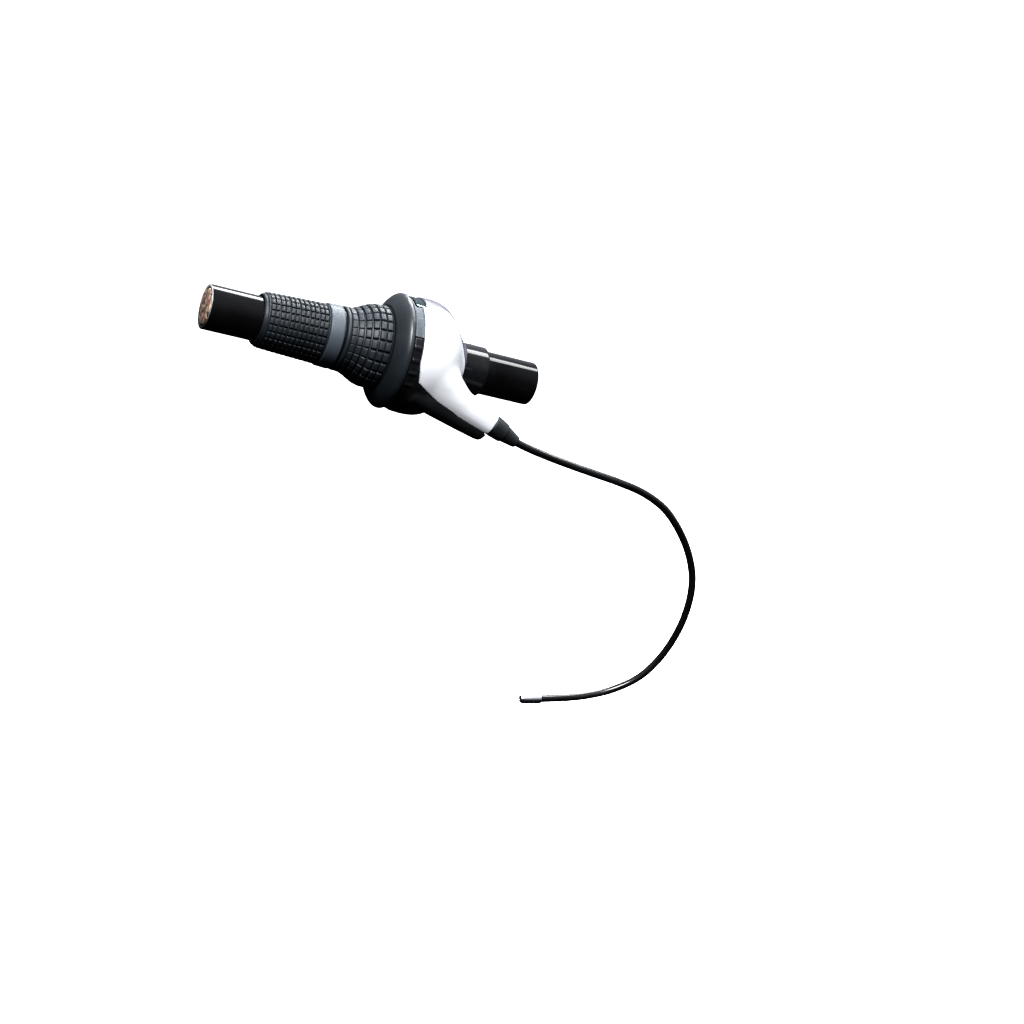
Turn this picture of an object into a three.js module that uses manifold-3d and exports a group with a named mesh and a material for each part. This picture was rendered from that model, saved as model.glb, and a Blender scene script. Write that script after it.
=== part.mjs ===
// The end of a flat handlebar with a short fixed rubber grip and a seven speed twist grip shifter.
// X runs inboard along the bar and the origin is the centre of the bar's inboard cut face.
// -Y is the front of the bicycle and +Z is up. Lengths are in millimetres.
// Stations are measured inboard from the outboard end of the bar.

import * as THREE from 'three';
import { mergeVertices } from 'three/addons/utils/BufferGeometryUtils.js';
import Module from 'manifold-3d';

const wasm = await Module();
wasm.setup();

// Clearances
const seatGap = 0.3;
const turnGap = 0.5;
const overrun = 1.5;
const weld = 0.0005;

// Facets
const roundSides = 48;
const smallSides = 24;
const wireSides = 8;

// Handlebar and plug
const barRadius = 11.1;
const barWall = 1.6;
const barLength = 176;
const barEdge = 0.5;
const exposedBar = 26;
const plugLength = 15;
const plugCrown = 0.4;
const plugTaper = 1.2;

// Fixed grip
const gripRows = 24;
const fixedColumns = 12;
const fixedPitch = 2.48;
const fixedBlockHeight = 0.9;
const fixedWall = 2.7;
const fixedSwell = 1.4;
const fixedLip = 2.6;
const bandRise = 0.9;
const bandLength = 6.8;
const bandGroove = 0.9;
const bandTaper = 0.4;
const lipEdge = 0.6;

// Washer between the grips
const washerThickness = 0.5;
const washerInset = 1.2;

// Twist grip
const twistColumns = 6;
const twistPitch = 3.3;
const twistBlockHeight = 1.2;
const twistWall = 2.7;
const bellySwell = 4.5;
const twistFlare = 0.6;
const twistLip = 2.2;
const twistEnd = 0.5;
const twistTubeWall = 2.1;

// Flange and hub of the twist tube
const flangeInset = 0.3;
const flangeRun = 5.9;
const flangeLand = 0.9;
const flangeFullness = 1.8;
const flangeEdge = 0.4;
const flangeStepUp = 0.9;
const flangeDishDepth = 3;
const flangeDishWall = 2;
const hubRise = 1.1;
const keyHeight = 1.2;
const keyWidth = 3;

// Cable drum, detent ring and thrust washer
const drumLength = 8.5;
const drumFloor = 1.6;
const grooveDepth = 3.2;
const grooveWidth = 2.4;
const grooveBottom = 1.6;
const detentRise = 0.2;
const detentLength = 3.4;
const detentDepth = 1;
const detentStep = 10;
const detentNotches = 7;
const hubWasherThickness = 1;

// Detent spring
const springThickness = 0.6;
const springSpan = 10;
const springPost = 2.6;
const springHump = 0.8;

// Shift wire and guide
const wireRadius = 0.6;
const wireBore = 1.05;
const guideRadius = 1.9;
const nippleRadius = 2;
const nippleLength = 4.4;
const leadAngle = 140;
const nippleAngle = 88;
const leadLength = 13.5;
const guideBend = 6;

// Housing
const cavityRoom = 6;
const bandWall = 3.2;
const shoulderStep = 0.7;
const crownRise = 0.5;
const coverWall = 1.7;
const frontBandLength = 4.8;
const shoulderRun = 5;
const domeRun = 27.5;
const domeFullness = 1.7;
const collarWall = 1.6;
const collarLength = 11.5;
const frontBandCut = 11.6;
const rearCut = 6;
const rearCutFront = 12;
const bandRibs = 4;
const bandRibWidth = 1.5;
const bandRibHeight = 0.5;
const bandRibPitch = 13;

// Nose, its keel and the cable exit
const noseDrop = 21;
const noseReach = 16.9;
const noseForwardInset = 9.6;
const noseDownInset = 6.8;
const noseLength = 46;
const noseTip = 5.8;
const noseRoot = 9;
const noseFlatness = 3;
const noseFullness = 0.75;
const noseFlare = 4.5;
const noseSplay = 2.2;
const keelTip = 4.8;
const keelRoot = 7.6;
const keelDropTip = 6.2;
const keelDropRoot = 9.2;
const keelShort = 6;
const partingStep = 2.6;
const partingDip = 10.4;
const partingBack = 2.5;
const partingUnder = 1;
const partingPast = 6.6;

// Cable casing, caps and boot
const casingRadius = 2;
const capWall = 0.45;
const capFloor = 1;
const capLengthNose = 9;
const capLengthEnd = 12;
const bootLength = 17;
const bootRadius = 5.6;
const bootStepLength = 8.5;
const bootStepRadius = 4.5;
const bootStepHeight = 0.6;
const bootTipRadius = 3.1;
const bootRound = 0.6;

// Gear indicator
const windowFront = 118;
const windowRear = 47;
const windowStart = 1.2;
const windowLength = 6;
const windowThickness = 1.5;
const windowProud = 0.3;
const scaleThickness = 0.6;
const shelfThickness = 0.8;
const needleThickness = 0.55;
const needleRest = 113;
const needleWidth = 1.5;
const needleFoot = 1.4;
const needlePost = 1.8;

// Screws and clamp
const earLength = 8.4;
const earDepth = 7.9;
const earHeight = 8.6;
const clampSlit = 1.2;
const clampScrewRadius = 2;
const clampHeadRadius = 3.5;
const clampHeadHeight = 3.4;
const clampNutRadius = 3.9;
const clampNutHeight = 3.2;
const clampSocketRadius = 1.7;
const coverScrewRadius = 1.2;
const coverScrewHead = 2.3;
const coverScrewHeadHeight = 1.2;
const coverScrewSink = 0.8;
const coverScrewLength = 7;
const coverScrewStation = 6;
const coverScrewRearAngle = 3.75;
const coverScrewTopAngle = 56.25;

// Radii worked out from the sizes above, from the bar outward
const tubeBore = barRadius + seatGap;
const tubeRadius = tubeBore + twistTubeWall;
const fixedRadius = barRadius + fixedWall;
const bandRadius = fixedRadius + fixedSwell + bandRise;
const neckRadius = tubeRadius + twistWall;
const bellyRadius = neckRadius + bellySwell + twistFlare;
const hubRadius = tubeRadius + hubRise;
const grooveRadius = hubRadius + drumFloor;
const drumRadius = grooveRadius + grooveDepth;
const detentRadius = drumRadius + detentRise;
const wirePath = grooveRadius + seatGap + wireRadius;
const cavityRadius = drumRadius + cavityRoom;
const frontBandRadius = cavityRadius + bandWall;
const shoulderRadius = frontBandRadius + shoulderStep;
const crownRadius = shoulderRadius + crownRise;
const flangeRadius = crownRadius - flangeInset;
const windowRadius = frontBandRadius + windowProud;
const collarRadius = barRadius + collarWall;
const earReach = collarRadius + earDepth;
const capRadius = casingRadius + seatGap + capWall;

// Stations and places
const rad = THREE.MathUtils.degToRad;
const fixedStart = exposedBar;
const fixedField = fixedStart + fixedLip;
const fixedEnd = fixedField + fixedColumns * fixedPitch + bandGroove + bandLength + lipEdge;
const washerStart = fixedEnd + seatGap;
const twistStart = washerStart + washerThickness + seatGap;
const twistField = twistStart + twistLip;
const twistFieldEnd = twistField + twistColumns * twistPitch;
const twistRubberEnd = twistFieldEnd + twistEnd;
const flangeStart = twistRubberEnd + seatGap;
const flangeBack = flangeStart + flangeRun + flangeLand + flangeEdge;
const drumStart = flangeBack + seatGap;
const drumEnd = drumStart + drumLength;
const detentStart = drumEnd + seatGap;
const detentEnd = detentStart + detentLength;
const hubEnd = detentEnd + seatGap;
const hubWasherStart = hubEnd + seatGap;
const wallStart = hubWasherStart + hubWasherThickness + seatGap;
const housingStart = flangeBack + turnGap;
const bandEnd = housingStart + frontBandLength;
const crownStation = bandEnd + shoulderRun;
const domeEnd = crownStation + domeRun;
const collarEnd = domeEnd + collarLength;
const grooveStation = drumStart + drumLength / 2;
const noseForward = crownRadius - noseForwardInset;
const noseDown = crownRadius - noseDownInset;
const nose = new THREE.Vector3(Math.cos(rad(noseDrop)), 0, -Math.sin(rad(noseDrop)));
const noseUp = new THREE.Vector3(Math.sin(rad(noseDrop)), 0, Math.cos(rad(noseDrop)));
const noseEnd = new THREE.Vector3(domeEnd + noseReach, -noseForward, -noseDown);
const noseStart = noseEnd.clone().addScaledVector(nose, -noseLength);

// The free route of the casing from the boot to its far cap, from the origin.
const casingRoute = [
  [5, -20.8, -31.7],
  [20, -22, -33.8],
  [37, -23, -35.7],
  [54, -23.5, -37.5],
  [71, -23, -40.5],
  [86.5, -22, -46.5],
  [100, -20, -56.5],
  [112, -17, -69],
  [120.5, -14, -83],
  [125, -10, -98.5],
  [125.5, -6, -115],
  [122, -2, -131.5],
  [114, 1, -145.5],
  [101, 4, -156],
  [84.5, 6, -163],
  [67.5, 7, -167],
  [50, 7.5, -170]
];

// Joining and cutting

function solid(geometry) {
  const bare = geometry.clone();
  bare.deleteAttribute('normal');
  bare.deleteAttribute('uv');
  const merged = mergeVertices(bare, weld);
  const corners = merged.index.array;
  const faces = [];
  for (let i = 0; i < corners.length; i += 3) {
    const [a, b, c] = [corners[i], corners[i + 1], corners[i + 2]];
    if (a !== b && b !== c && c !== a) faces.push(a, b, c);
  }
  const vertProperties = merged.attributes.position.array;
  const build = (list) => {
    const triVerts = new Uint32Array(list);
    return new wasm.Manifold(new wasm.Mesh({ numProp: 3, vertProperties, triVerts }));
  };
  const made = build(faces);
  return made.volume() < 0 ? build(faces.reverse()) : made;
}

function joined(first, ...others) {
  return others.reduce((whole, other) => whole.add(other), first);
}

function cut(first, ...others) {
  return others.reduce((whole, other) => whole.subtract(other), first);
}

function mesh(name, body, look) {
  const { vertProperties, triVerts } = body.getMesh();
  const geometry = new THREE.BufferGeometry();
  geometry.setAttribute('position', new THREE.BufferAttribute(new Float32Array(vertProperties), 3));
  geometry.setIndex(new THREE.BufferAttribute(new Uint32Array(triVerts), 1));
  const flat = geometry.toNonIndexed();
  flat.computeVertexNormals();
  const piece = new THREE.Mesh(flat, new THREE.MeshStandardMaterial(look));
  piece.name = name;
  return piece;
}

// Basic forms

// The radius of a polygon whose flats, not its corners, lie at the given radius.
function roundBore(radius, sides) {
  return radius / Math.cos(Math.PI / sides);
}

// A profile of [station, radius] points turned about X. It closes on itself off the axis.
function turned(profile, sides = roundSides) {
  const onAxis = profile[0][1] === 0 && profile.at(-1)[1] === 0;
  const closed = onAxis ? profile : [...profile, profile[0]];
  const points = closed.map(([station, radius]) => new THREE.Vector2(radius, station));
  return solid(new THREE.LatheGeometry(points, sides).rotateZ(-Math.PI / 2));
}

// The corners of a cutter lie between those of the body it cuts, so no edges coincide.
function offPhase(body) {
  return body.rotate([180 / roundSides, 0, 0]);
}

function disc(start, end, radius, sides = roundSides) {
  return turned([[start, 0], [start, radius], [end, radius], [end, 0]], sides);
}

function ring(start, end, inner, outer, sides = roundSides) {
  const bore = roundBore(inner, sides);
  return turned([[start, bore], [start, outer], [end, outer], [end, bore]], sides);
}

function block(x0, x1, y0, y1, z0, z1) {
  const box = new THREE.BoxGeometry(x1 - x0, y1 - y0, z1 - z0);
  return solid(box.translate((x0 + x1) / 2, (y0 + y1) / 2, (z0 + z1) / 2));
}

// A point at an angle from the rear (+Y) over the top (+Z) to the front.
function around(station, radius, angle) {
  const turn = rad(angle);
  return new THREE.Vector3(station, radius * Math.cos(turn), radius * Math.sin(turn));
}

// A bent plate that follows a circle about X between two angles.
function arcPlate(start, end, inner, outer, from, to) {
  const outline = new THREE.Shape();
  outline.absarc(0, 0, outer, rad(from), rad(to), false);
  outline.absarc(0, 0, inner, rad(to), rad(from), true);
  const steps = Math.max(1, Math.round(Math.abs(to - from) / (360 / roundSides) / 2));
  const plate = new THREE.ExtrudeGeometry(outline, {
    depth: end - start,
    bevelEnabled: false,
    curveSegments: steps
  });
  const axes = new THREE.Matrix4().makeBasis(
    new THREE.Vector3(0, 1, 0),
    new THREE.Vector3(0, 0, 1),
    new THREE.Vector3(1, 0, 0)
  );
  return solid(plate.applyMatrix4(axes).translate(start, 0, 0));
}

// A profile of [distance, radius] points turned about a line.
function turnedAlong(origin, direction, profile, sides = smallSides) {
  const points = profile.map(([distance, radius]) => new THREE.Vector2(radius, distance));
  const body = new THREE.LatheGeometry(points, sides);
  const turn = new THREE.Quaternion().setFromUnitVectors(new THREE.Vector3(0, 1, 0), direction);
  return solid(body.applyQuaternion(turn).translate(origin.x, origin.y, origin.z));
}

function rod(origin, direction, start, end, radius, sides = smallSides) {
  const profile = [[start, 0], [start, radius], [end, radius], [end, 0]];
  return turnedAlong(origin, direction, profile, sides);
}

// A closed skin through rings of equal point counts.
function lofted(rings) {
  const count = rings[0].length;
  const points = rings.flat();
  const faces = [];
  for (let ringIndex = 0; ringIndex + 1 < rings.length; ringIndex++) {
    for (let i = 0; i < count; i++) {
      const a = ringIndex * count + i;
      const b = ringIndex * count + (i + 1) % count;
      faces.push(a, b, b + count, a, b + count, a + count);
    }
  }
  const middle = (list) => {
    const sum = list.reduce((total, point) => total.add(point), new THREE.Vector3());
    return sum.divideScalar(count);
  };
  const last = (rings.length - 1) * count;
  points.push(middle(rings[0]), middle(rings.at(-1)));
  for (let i = 0; i < count; i++) {
    const next = (i + 1) % count;
    faces.push(points.length - 2, next, i, points.length - 1, last + i, last + next);
  }
  return solid(new THREE.BufferGeometry().setFromPoints(points).setIndex(faces));
}

// A round tube or wire along a curve.
function along(curve, radius, steps, sides = wireSides) {
  const section = new THREE.Shape();
  section.absarc(0, 0, radius, 0, 2 * Math.PI, false);
  const settings = { steps, extrudePath: curve, curveSegments: sides / 2, bevelEnabled: false };
  return solid(new THREE.ExtrudeGeometry(section, settings));
}

// Rubber sleeves

// A ring of points of the sleeve's bore or skin.
function sleeveRing(station, radius) {
  return Array.from({ length: gripRows }, (_, i) => around(station, radius, 360 * i / gripRows));
}

// A sleeve with plain ends and a field of blocks that V grooves part from each other.
function blockedSleeve({ bore, head, tail, fieldStart, pitch, columns, topRadius, height }) {
  const insetShare = 0.2;
  const boreCorner = roundBore(bore, gripRows);
  const fieldRings = Array.from({ length: columns + 1 }, (_, i) => {
    const station = fieldStart + i * pitch;
    return [station, topRadius(i / columns) - height];
  });
  const front = [head[0][0], boreCorner];
  const back = [tail.at(-1)[0], boreCorner];
  const profile = [front, ...head, ...fieldRings, ...tail, back];
  const points = profile.flatMap(([station, radius]) => sleeveRing(station, radius));
  const faces = [];
  const quad = (a, b, c, d) => faces.push(a, b, c, a, c, d);
  const firstField = 1 + head.length;
  profile.forEach((_, k) => {
    const next = (k + 1) % profile.length;
    const blocks = k >= firstField && k < firstField + columns;
    for (let i = 0; i < gripRows; i++) {
      const side = (i + 1) % gripRows;
      const corners = [
        k * gripRows + i,
        k * gripRows + side,
        next * gripRows + side,
        next * gripRows + i
      ];
      if (!blocks) {
        quad(...corners);
        continue;
      }
      const column = k - firstField;
      const shares = [[insetShare, insetShare], [insetShare, 1 - insetShare],
        [1 - insetShare, 1 - insetShare], [1 - insetShare, insetShare]];
      const top = shares.map(([lengthShare, turnShare]) => {
        const station = fieldStart + (column + lengthShare) * pitch;
        const radius = topRadius((column + lengthShare) / columns);
        points.push(around(station, radius, 360 * (i + turnShare) / gripRows));
        return points.length - 1;
      });
      top.forEach((corner, j) => {
        const after = (j + 1) % top.length;
        quad(corners[j], corners[after], top[after], corner);
      });
      quad(...top);
    }
  });
  return solid(new THREE.BufferGeometry().setFromPoints(points).setIndex(faces));
}

function fixedGrip() {
  const topRadius = (share) => fixedRadius + fixedSwell * share ** 0.85;
  const fieldEnd = fixedField + fixedColumns * fixedPitch;
  const bandStart = fieldEnd + bandGroove;
  const endRadius = fixedRadius + fixedSwell;
  return blockedSleeve({
    bore: barRadius + seatGap,
    head: [
      [fixedStart, fixedRadius - lipEdge],
      [fixedStart + lipEdge, fixedRadius],
      [fixedField - lipEdge, fixedRadius]
    ],
    tail: [
      [fieldEnd + bandGroove / 3, endRadius],
      [fieldEnd + bandGroove * 2 / 3, endRadius - fixedBlockHeight],
      [bandStart, bandRadius - bandTaper],
      [bandStart + bandLength, bandRadius],
      [fixedEnd, bandRadius - lipEdge]
    ],
    fieldStart: fixedField,
    pitch: fixedPitch,
    columns: fixedColumns,
    topRadius,
    height: fixedBlockHeight
  });
}

function twistGripRubber() {
  const swell = (share) => THREE.MathUtils.smoothstep(share, 0.05, 0.75);
  const topRadius = (share) => neckRadius + bellySwell * swell(share) + twistFlare * share ** 3;
  return blockedSleeve({
    bore: tubeRadius + seatGap,
    head: [
      [twistStart, neckRadius - lipEdge],
      [twistStart + lipEdge, neckRadius],
      [twistField - lipEdge, neckRadius]
    ],
    tail: [
      [twistFieldEnd + twistEnd / 2, bellyRadius],
      [twistRubberEnd, bellyRadius]
    ],
    fieldStart: twistField,
    pitch: twistPitch,
    columns: twistColumns,
    topRadius,
    height: twistBlockHeight
  });
}

// Bar end

function handlebar() {
  const bore = roundBore(barRadius - barWall, roundSides);
  return turned([
    [0, bore],
    [0, barRadius - barEdge],
    [barEdge, barRadius],
    [barLength, barRadius],
    [barLength, bore]
  ]);
}

function barEndPlug() {
  const radius = barRadius - barWall - seatGap;
  return turned([
    [-plugCrown, 0],
    [-plugCrown, radius - plugTaper],
    [0, radius],
    [plugLength - plugTaper, radius],
    [plugLength, radius - plugTaper],
    [plugLength, 0]
  ], smallSides);
}

// Turning pieces

function hubKeys(extra) {
  const reach = hubRadius + keyHeight + extra;
  const half = keyWidth / 2 + extra;
  const start = drumStart - (extra ? overrun : 0);
  const end = hubEnd + (extra ? overrun : 0);
  return block(start, end, -reach, reach, -half, half);
}

function twistTube() {
  const bore = roundBore(tubeBore, roundSides);
  const curveSteps = 5;
  const foot = bellyRadius + flangeStepUp;
  const curve = Array.from({ length: curveSteps + 1 }, (_, i) => {
    const share = i / curveSteps;
    const rise = 1 - (1 - share) ** flangeFullness;
    return [flangeStart + flangeRun * share, foot + (flangeRadius - foot) * rise];
  });
  const dishRadius = flangeRadius - flangeDishWall;
  const body = turned([
    [twistStart + seatGap, bore],
    [twistStart + seatGap, tubeRadius],
    [flangeStart, tubeRadius],
    ...curve,
    [flangeBack - flangeEdge, flangeRadius],
    [flangeBack, flangeRadius - flangeEdge],
    [flangeBack, dishRadius],
    [flangeBack - flangeDishDepth, dishRadius - flangeDishWall],
    [flangeBack - flangeDishDepth, drumRadius + flangeDishWall],
    [flangeBack, drumRadius],
    [flangeBack, hubRadius],
    [hubEnd, hubRadius],
    [hubEnd, bore]
  ]);
  const inside = disc(twistStart - overrun, hubEnd + overrun, bore);
  return joined(body, cut(hubKeys(0), inside));
}

function cableDrum() {
  const bore = roundBore(hubRadius + seatGap, roundSides);
  const half = grooveWidth / 2;
  const bottom = grooveBottom / 2;
  const drum = turned([
    [drumStart, bore],
    [drumStart, drumRadius],
    [grooveStation - half, drumRadius],
    [grooveStation - bottom, grooveRadius],
    [grooveStation + bottom, grooveRadius],
    [grooveStation + half, drumRadius],
    [drumEnd, drumRadius],
    [drumEnd, bore]
  ]);
  const pocket = rod(
    around(grooveStation - nippleLength / 2 - seatGap, wirePath, nippleAngle),
    new THREE.Vector3(1, 0, 0),
    0,
    drumLength,
    nippleRadius + seatGap
  );
  return cut(drum, hubKeys(seatGap), pocket);
}

function detentRing() {
  const firstNotch = 270;
  const halfNotch = detentStep / 2;
  const field = detentNotches * detentStep;
  const plainStep = 360 / roundSides;
  const fineStep = detentStep / 8;
  const points = [];
  for (let offset = -halfNotch; offset < 360 - halfNotch; ) {
    const inField = offset < field - halfNotch;
    const dip = inField ? detentDepth * (1 + Math.cos(rad(offset * 360 / detentStep))) / 2 : 0;
    const point = around(0, detentRadius - dip, firstNotch + offset);
    points.push(new THREE.Vector2(point.y, point.z));
    offset += inField ? fineStep : plainStep;
  }
  const outline = new THREE.ExtrudeGeometry(new THREE.Shape(points), {
    depth: detentLength,
    bevelEnabled: false
  });
  const axes = new THREE.Matrix4().makeBasis(
    new THREE.Vector3(0, 1, 0),
    new THREE.Vector3(0, 0, 1),
    new THREE.Vector3(1, 0, 0)
  );
  const toothed = solid(outline.applyMatrix4(axes).translate(detentStart, 0, 0));
  const bore = roundBore(hubRadius + seatGap, roundSides);
  return cut(toothed, disc(detentStart - overrun, detentEnd + overrun, bore), hubKeys(seatGap));
}

function wireOnDrum() {
  const curve = new THREE.Curve();
  const gapAngle = THREE.MathUtils.radToDeg(seatGap / wirePath);
  const from = leadAngle - gapAngle;
  curve.getPoint = (t, target = new THREE.Vector3()) =>
    target.copy(around(grooveStation, wirePath, from + (nippleAngle - from) * t));
  const nipple = rod(
    around(grooveStation - nippleLength / 2, wirePath, nippleAngle),
    new THREE.Vector3(1, 0, 0),
    0,
    nippleLength,
    nippleRadius
  );
  return joined(along(curve, wireRadius, 10), nipple);
}

function indicatorNeedle() {
  const postStart = housingStart + needlePost / 3;
  const postEnd = postStart + needlePost;
  const footInner = drumRadius + seatGap;
  const outer = frontBandRadius - coverWall - seatGap;
  const inner = outer - needleThickness;
  const tip = housingStart + windowStart + windowLength - seatGap;
  const half = THREE.MathUtils.radToDeg(needleWidth / 2 / outer);
  const [from, to] = [needleRest - half, needleRest + half];
  const [footFrom, footTo] = [needleRest - 4 * half, needleRest + 4 * half];
  const foot = arcPlate(postStart, postEnd, footInner, footInner + needleFoot, footFrom, footTo);
  const post = arcPlate(postStart, postEnd, footInner, outer, from, to);
  const needle = arcPlate(postStart, tip, inner, outer, from, to);
  return joined(foot, post, needle);
}

// Shift wire and its guide

const leadDirection = new THREE.Vector3(0, -Math.sin(rad(leadAngle)), Math.cos(rad(leadAngle)));
const leadStart = around(grooveStation, wirePath, leadAngle);
const leadEnd = leadStart.clone().addScaledVector(leadDirection, leadLength);

// The point of the nose axis at a station.
function onNoseAxis(station) {
  return noseEnd.clone().addScaledVector(nose, (station - noseEnd.x) / nose.x);
}

const guideEnd = onNoseAxis(wallStart + springPost);
const guideCurve = new THREE.CubicBezierCurve3(
  leadEnd,
  leadEnd.clone().addScaledVector(leadDirection, guideBend),
  guideEnd.clone().addScaledVector(nose, -guideBend),
  guideEnd
);

function wireLead() {
  const path = new THREE.CurvePath();
  const first = leadStart.clone().addScaledVector(leadDirection, seatGap);
  const last = noseEnd.clone().addScaledVector(nose, -capLengthNose - seatGap * 2);
  path.add(new THREE.LineCurve3(first, leadEnd));
  path.add(guideCurve);
  path.add(new THREE.LineCurve3(guideEnd, last));
  return along(path, wireRadius, 24);
}

function guideTube(radius) {
  return along(guideCurve, radius, 10, smallSides / 2);
}

function wireGuide() {
  const ends = joined(
    rod(leadEnd, leadDirection, -overrun, overrun / 3, wireBore),
    rod(guideEnd, nose, -overrun / 3, overrun, wireBore)
  );
  return cut(guideTube(guideRadius), guideTube(wireBore), ends);
}

// Housing

// The outer radius of the dome at a share of its run from the crown to the collar.
function domeRadius(share) {
  const fall = (1 + Math.cos(Math.PI * share ** domeFullness)) / 2;
  return collarRadius + (crownRadius - collarRadius) * fall;
}

// The housing's round body, with its skin moved in by an inset.
function domeBody(inset) {
  const steps = 9;
  const curve = Array.from({ length: steps + 1 }, (_, i) => {
    const share = i / steps;
    return [crownStation + domeRun * share, domeRadius(share) - inset];
  });
  const front = inset ? housingStart - overrun : housingStart;
  return turned([
    [front, 0],
    [front, frontBandRadius - inset],
    [bandEnd + inset, frontBandRadius - inset],
    [bandEnd + inset, shoulderRadius - inset],
    ...curve,
    [domeEnd, 0]
  ]);
}

// A tapered horn with a rounded square section, along the nose and lowered from its axis.
function horn(rootSize, tipSize, rootDrop, tipDrop, rootFlare, length) {
  const steps = 5;
  const rings = Array.from({ length: steps + 1 }, (_, i) => {
    const share = i / steps;
    const flare = rootFlare * (1 - share) ** 3;
    const size = tipSize + (rootSize - tipSize) * (1 - share) ** noseFullness + flare;
    const drop = THREE.MathUtils.lerp(rootDrop, tipDrop, share);
    const onAxis = noseStart.clone().addScaledVector(nose, length * share);
    const centre = onAxis.addScaledVector(noseUp, -drop);
    centre.y += noseSplay * (1 - share) + flare;
    return Array.from({ length: smallSides }, (_, k) => {
      const turn = 2 * Math.PI * (k + 0.5) / smallSides;
      const power = 2 / noseFlatness;
      const across = Math.sign(Math.cos(turn)) * Math.abs(Math.cos(turn)) ** power;
      const upward = Math.sign(Math.sin(turn)) * Math.abs(Math.sin(turn)) ** power;
      const point = centre.clone().addScaledVector(noseUp, size * upward);
      point.y += size * across;
      return point;
    });
  });
  return lofted(rings);
}

function noseBody(inset) {
  const length = inset ? noseLength + overrun : noseLength;
  return horn(noseRoot - inset, noseTip - inset, 0, 0, noseFlare, length);
}

function keelBody() {
  return horn(keelRoot, keelTip, keelDropRoot, keelDropTip, 0, noseLength - keelShort);
}

// The space above the parting line, seen from the front: down behind the front band, then
// in a shallow curve along the nose. It runs from far in front to far behind.
function aboveParting(grow) {
  const far = 2 * noseLength;
  const bend = [domeEnd - partingBack - grow / 2, -noseDown - partingUnder - grow];
  const end = [noseEnd.x + partingPast, -noseDown - partingPast - grow];
  const outline = new THREE.Shape();
  outline.moveTo(bandEnd - grow, far);
  outline.lineTo(bandEnd - grow, 0);
  outline.lineTo(bandEnd + partingStep - grow, -partingDip - grow);
  outline.quadraticCurveTo(...bend, ...end);
  outline.lineTo(bandEnd + far, end[1]);
  outline.lineTo(bandEnd + far, far);
  outline.closePath();
  const slab = new THREE.ExtrudeGeometry(outline, {
    depth: 2 * far,
    bevelEnabled: false,
    curveSegments: 6
  });
  return solid(slab.translate(0, 0, -far).rotateX(Math.PI / 2));
}

// The space that the cover's skin takes: in front of the bar above the parting line, behind
// it above the rear cut, and on the front band above its own cut.
function coverZone(grow) {
  const far = 2 * noseLength;
  const cutFront = grow - rearCutFront;
  const under = block(bandEnd - far, bandEnd + far, cutFront, far, -far, -rearCut - grow);
  const band = block(housingStart - overrun, bandEnd, -far, far, frontBandCut - grow, far);
  return joined(cut(aboveParting(grow), under), band);
}

function windowOpening(extra) {
  const extraAngle = THREE.MathUtils.radToDeg(extra / windowRadius);
  return [
    housingStart + windowStart + extra,
    housingStart + windowStart + windowLength - extra,
    windowRear + extraAngle,
    windowFront - extraAngle
  ];
}

// Where a cover screw's head seats, with its direction into the housing.
function coverScrewSeat(angle) {
  const station = crownStation + coverScrewStation;
  const radius = domeRadius(coverScrewStation / domeRun);
  const inward = around(0, -1, angle);
  return [around(station, radius, angle), inward];
}

const coverScrewAngles = [coverScrewRearAngle, coverScrewTopAngle];

function coverScrew(angle) {
  const [seat, inward] = coverScrewSeat(angle);
  const under = coverScrewSink - seatGap;
  return turnedAlong(seat, inward, [
    [under - coverScrewHeadHeight, 0],
    [under - coverScrewHeadHeight, coverScrewHead - seatGap],
    [under - coverScrewHeadHeight + seatGap, coverScrewHead],
    [under, coverScrewHead],
    [under, coverScrewRadius],
    [coverScrewLength, coverScrewRadius],
    [coverScrewLength, 0]
  ], smallSides / 2);
}

function coverScrewHole(angle) {
  const [seat, inward] = coverScrewSeat(angle);
  return turnedAlong(seat, inward, [
    [-overrun * 2, 0],
    [-overrun * 2, coverScrewHead + seatGap],
    [coverScrewSink, coverScrewHead + seatGap],
    [coverScrewSink, coverScrewRadius + seatGap],
    [coverScrewLength + seatGap, coverScrewRadius + seatGap],
    [coverScrewLength + seatGap, 0]
  ], smallSides / 2);
}

function housingCover() {
  const outer = joined(domeBody(0), noseBody(0));
  const inner = joined(domeBody(coverWall), noseBody(coverWall));
  const [start, end, from, to] = windowOpening(0);
  const pane = arcPlate(start, end, cavityRadius, crownRadius + overrun, from, to);
  const collarBore = roundBore(collarRadius + seatGap, roundSides);
  const collarHole = offPhase(disc(crownStation, collarEnd, collarBore));
  const skin = cut(outer, inner).intersect(coverZone(0));
  return cut(skin, pane, collarHole, ...coverScrewAngles.map(coverScrewHole));
}

function indicatorWindow() {
  const [start, end, from, to] = windowOpening(seatGap);
  return arcPlate(start, end, windowRadius - windowThickness, windowRadius, from, to);
}

const shelfRadius = frontBandRadius - coverWall - 3 * seatGap - needleThickness - scaleThickness;
const shelfStart = housingStart + needlePost / 3 + needlePost + turnGap;

function scaleShelf() {
  const under = [shelfStart, wallStart + overrun, shelfRadius - shelfThickness, shelfRadius];
  return arcPlate(...under, windowRear, windowFront);
}

// The room for the scale and the needle through the base's shell.
function indicatorSlot() {
  const end = housingStart + windowStart + windowLength + turnGap;
  const side = needleWidth * 2;
  const [from, to] = [windowRear - side, windowFront + side];
  return arcPlate(housingStart - overrun, end, hubRadius, frontBandRadius, from, to);
}

function indicatorScale() {
  const end = housingStart + windowStart + windowLength;
  const inner = shelfRadius + seatGap;
  return arcPlate(shelfStart, end, inner, inner + scaleThickness, windowRear, windowFront);
}

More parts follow.
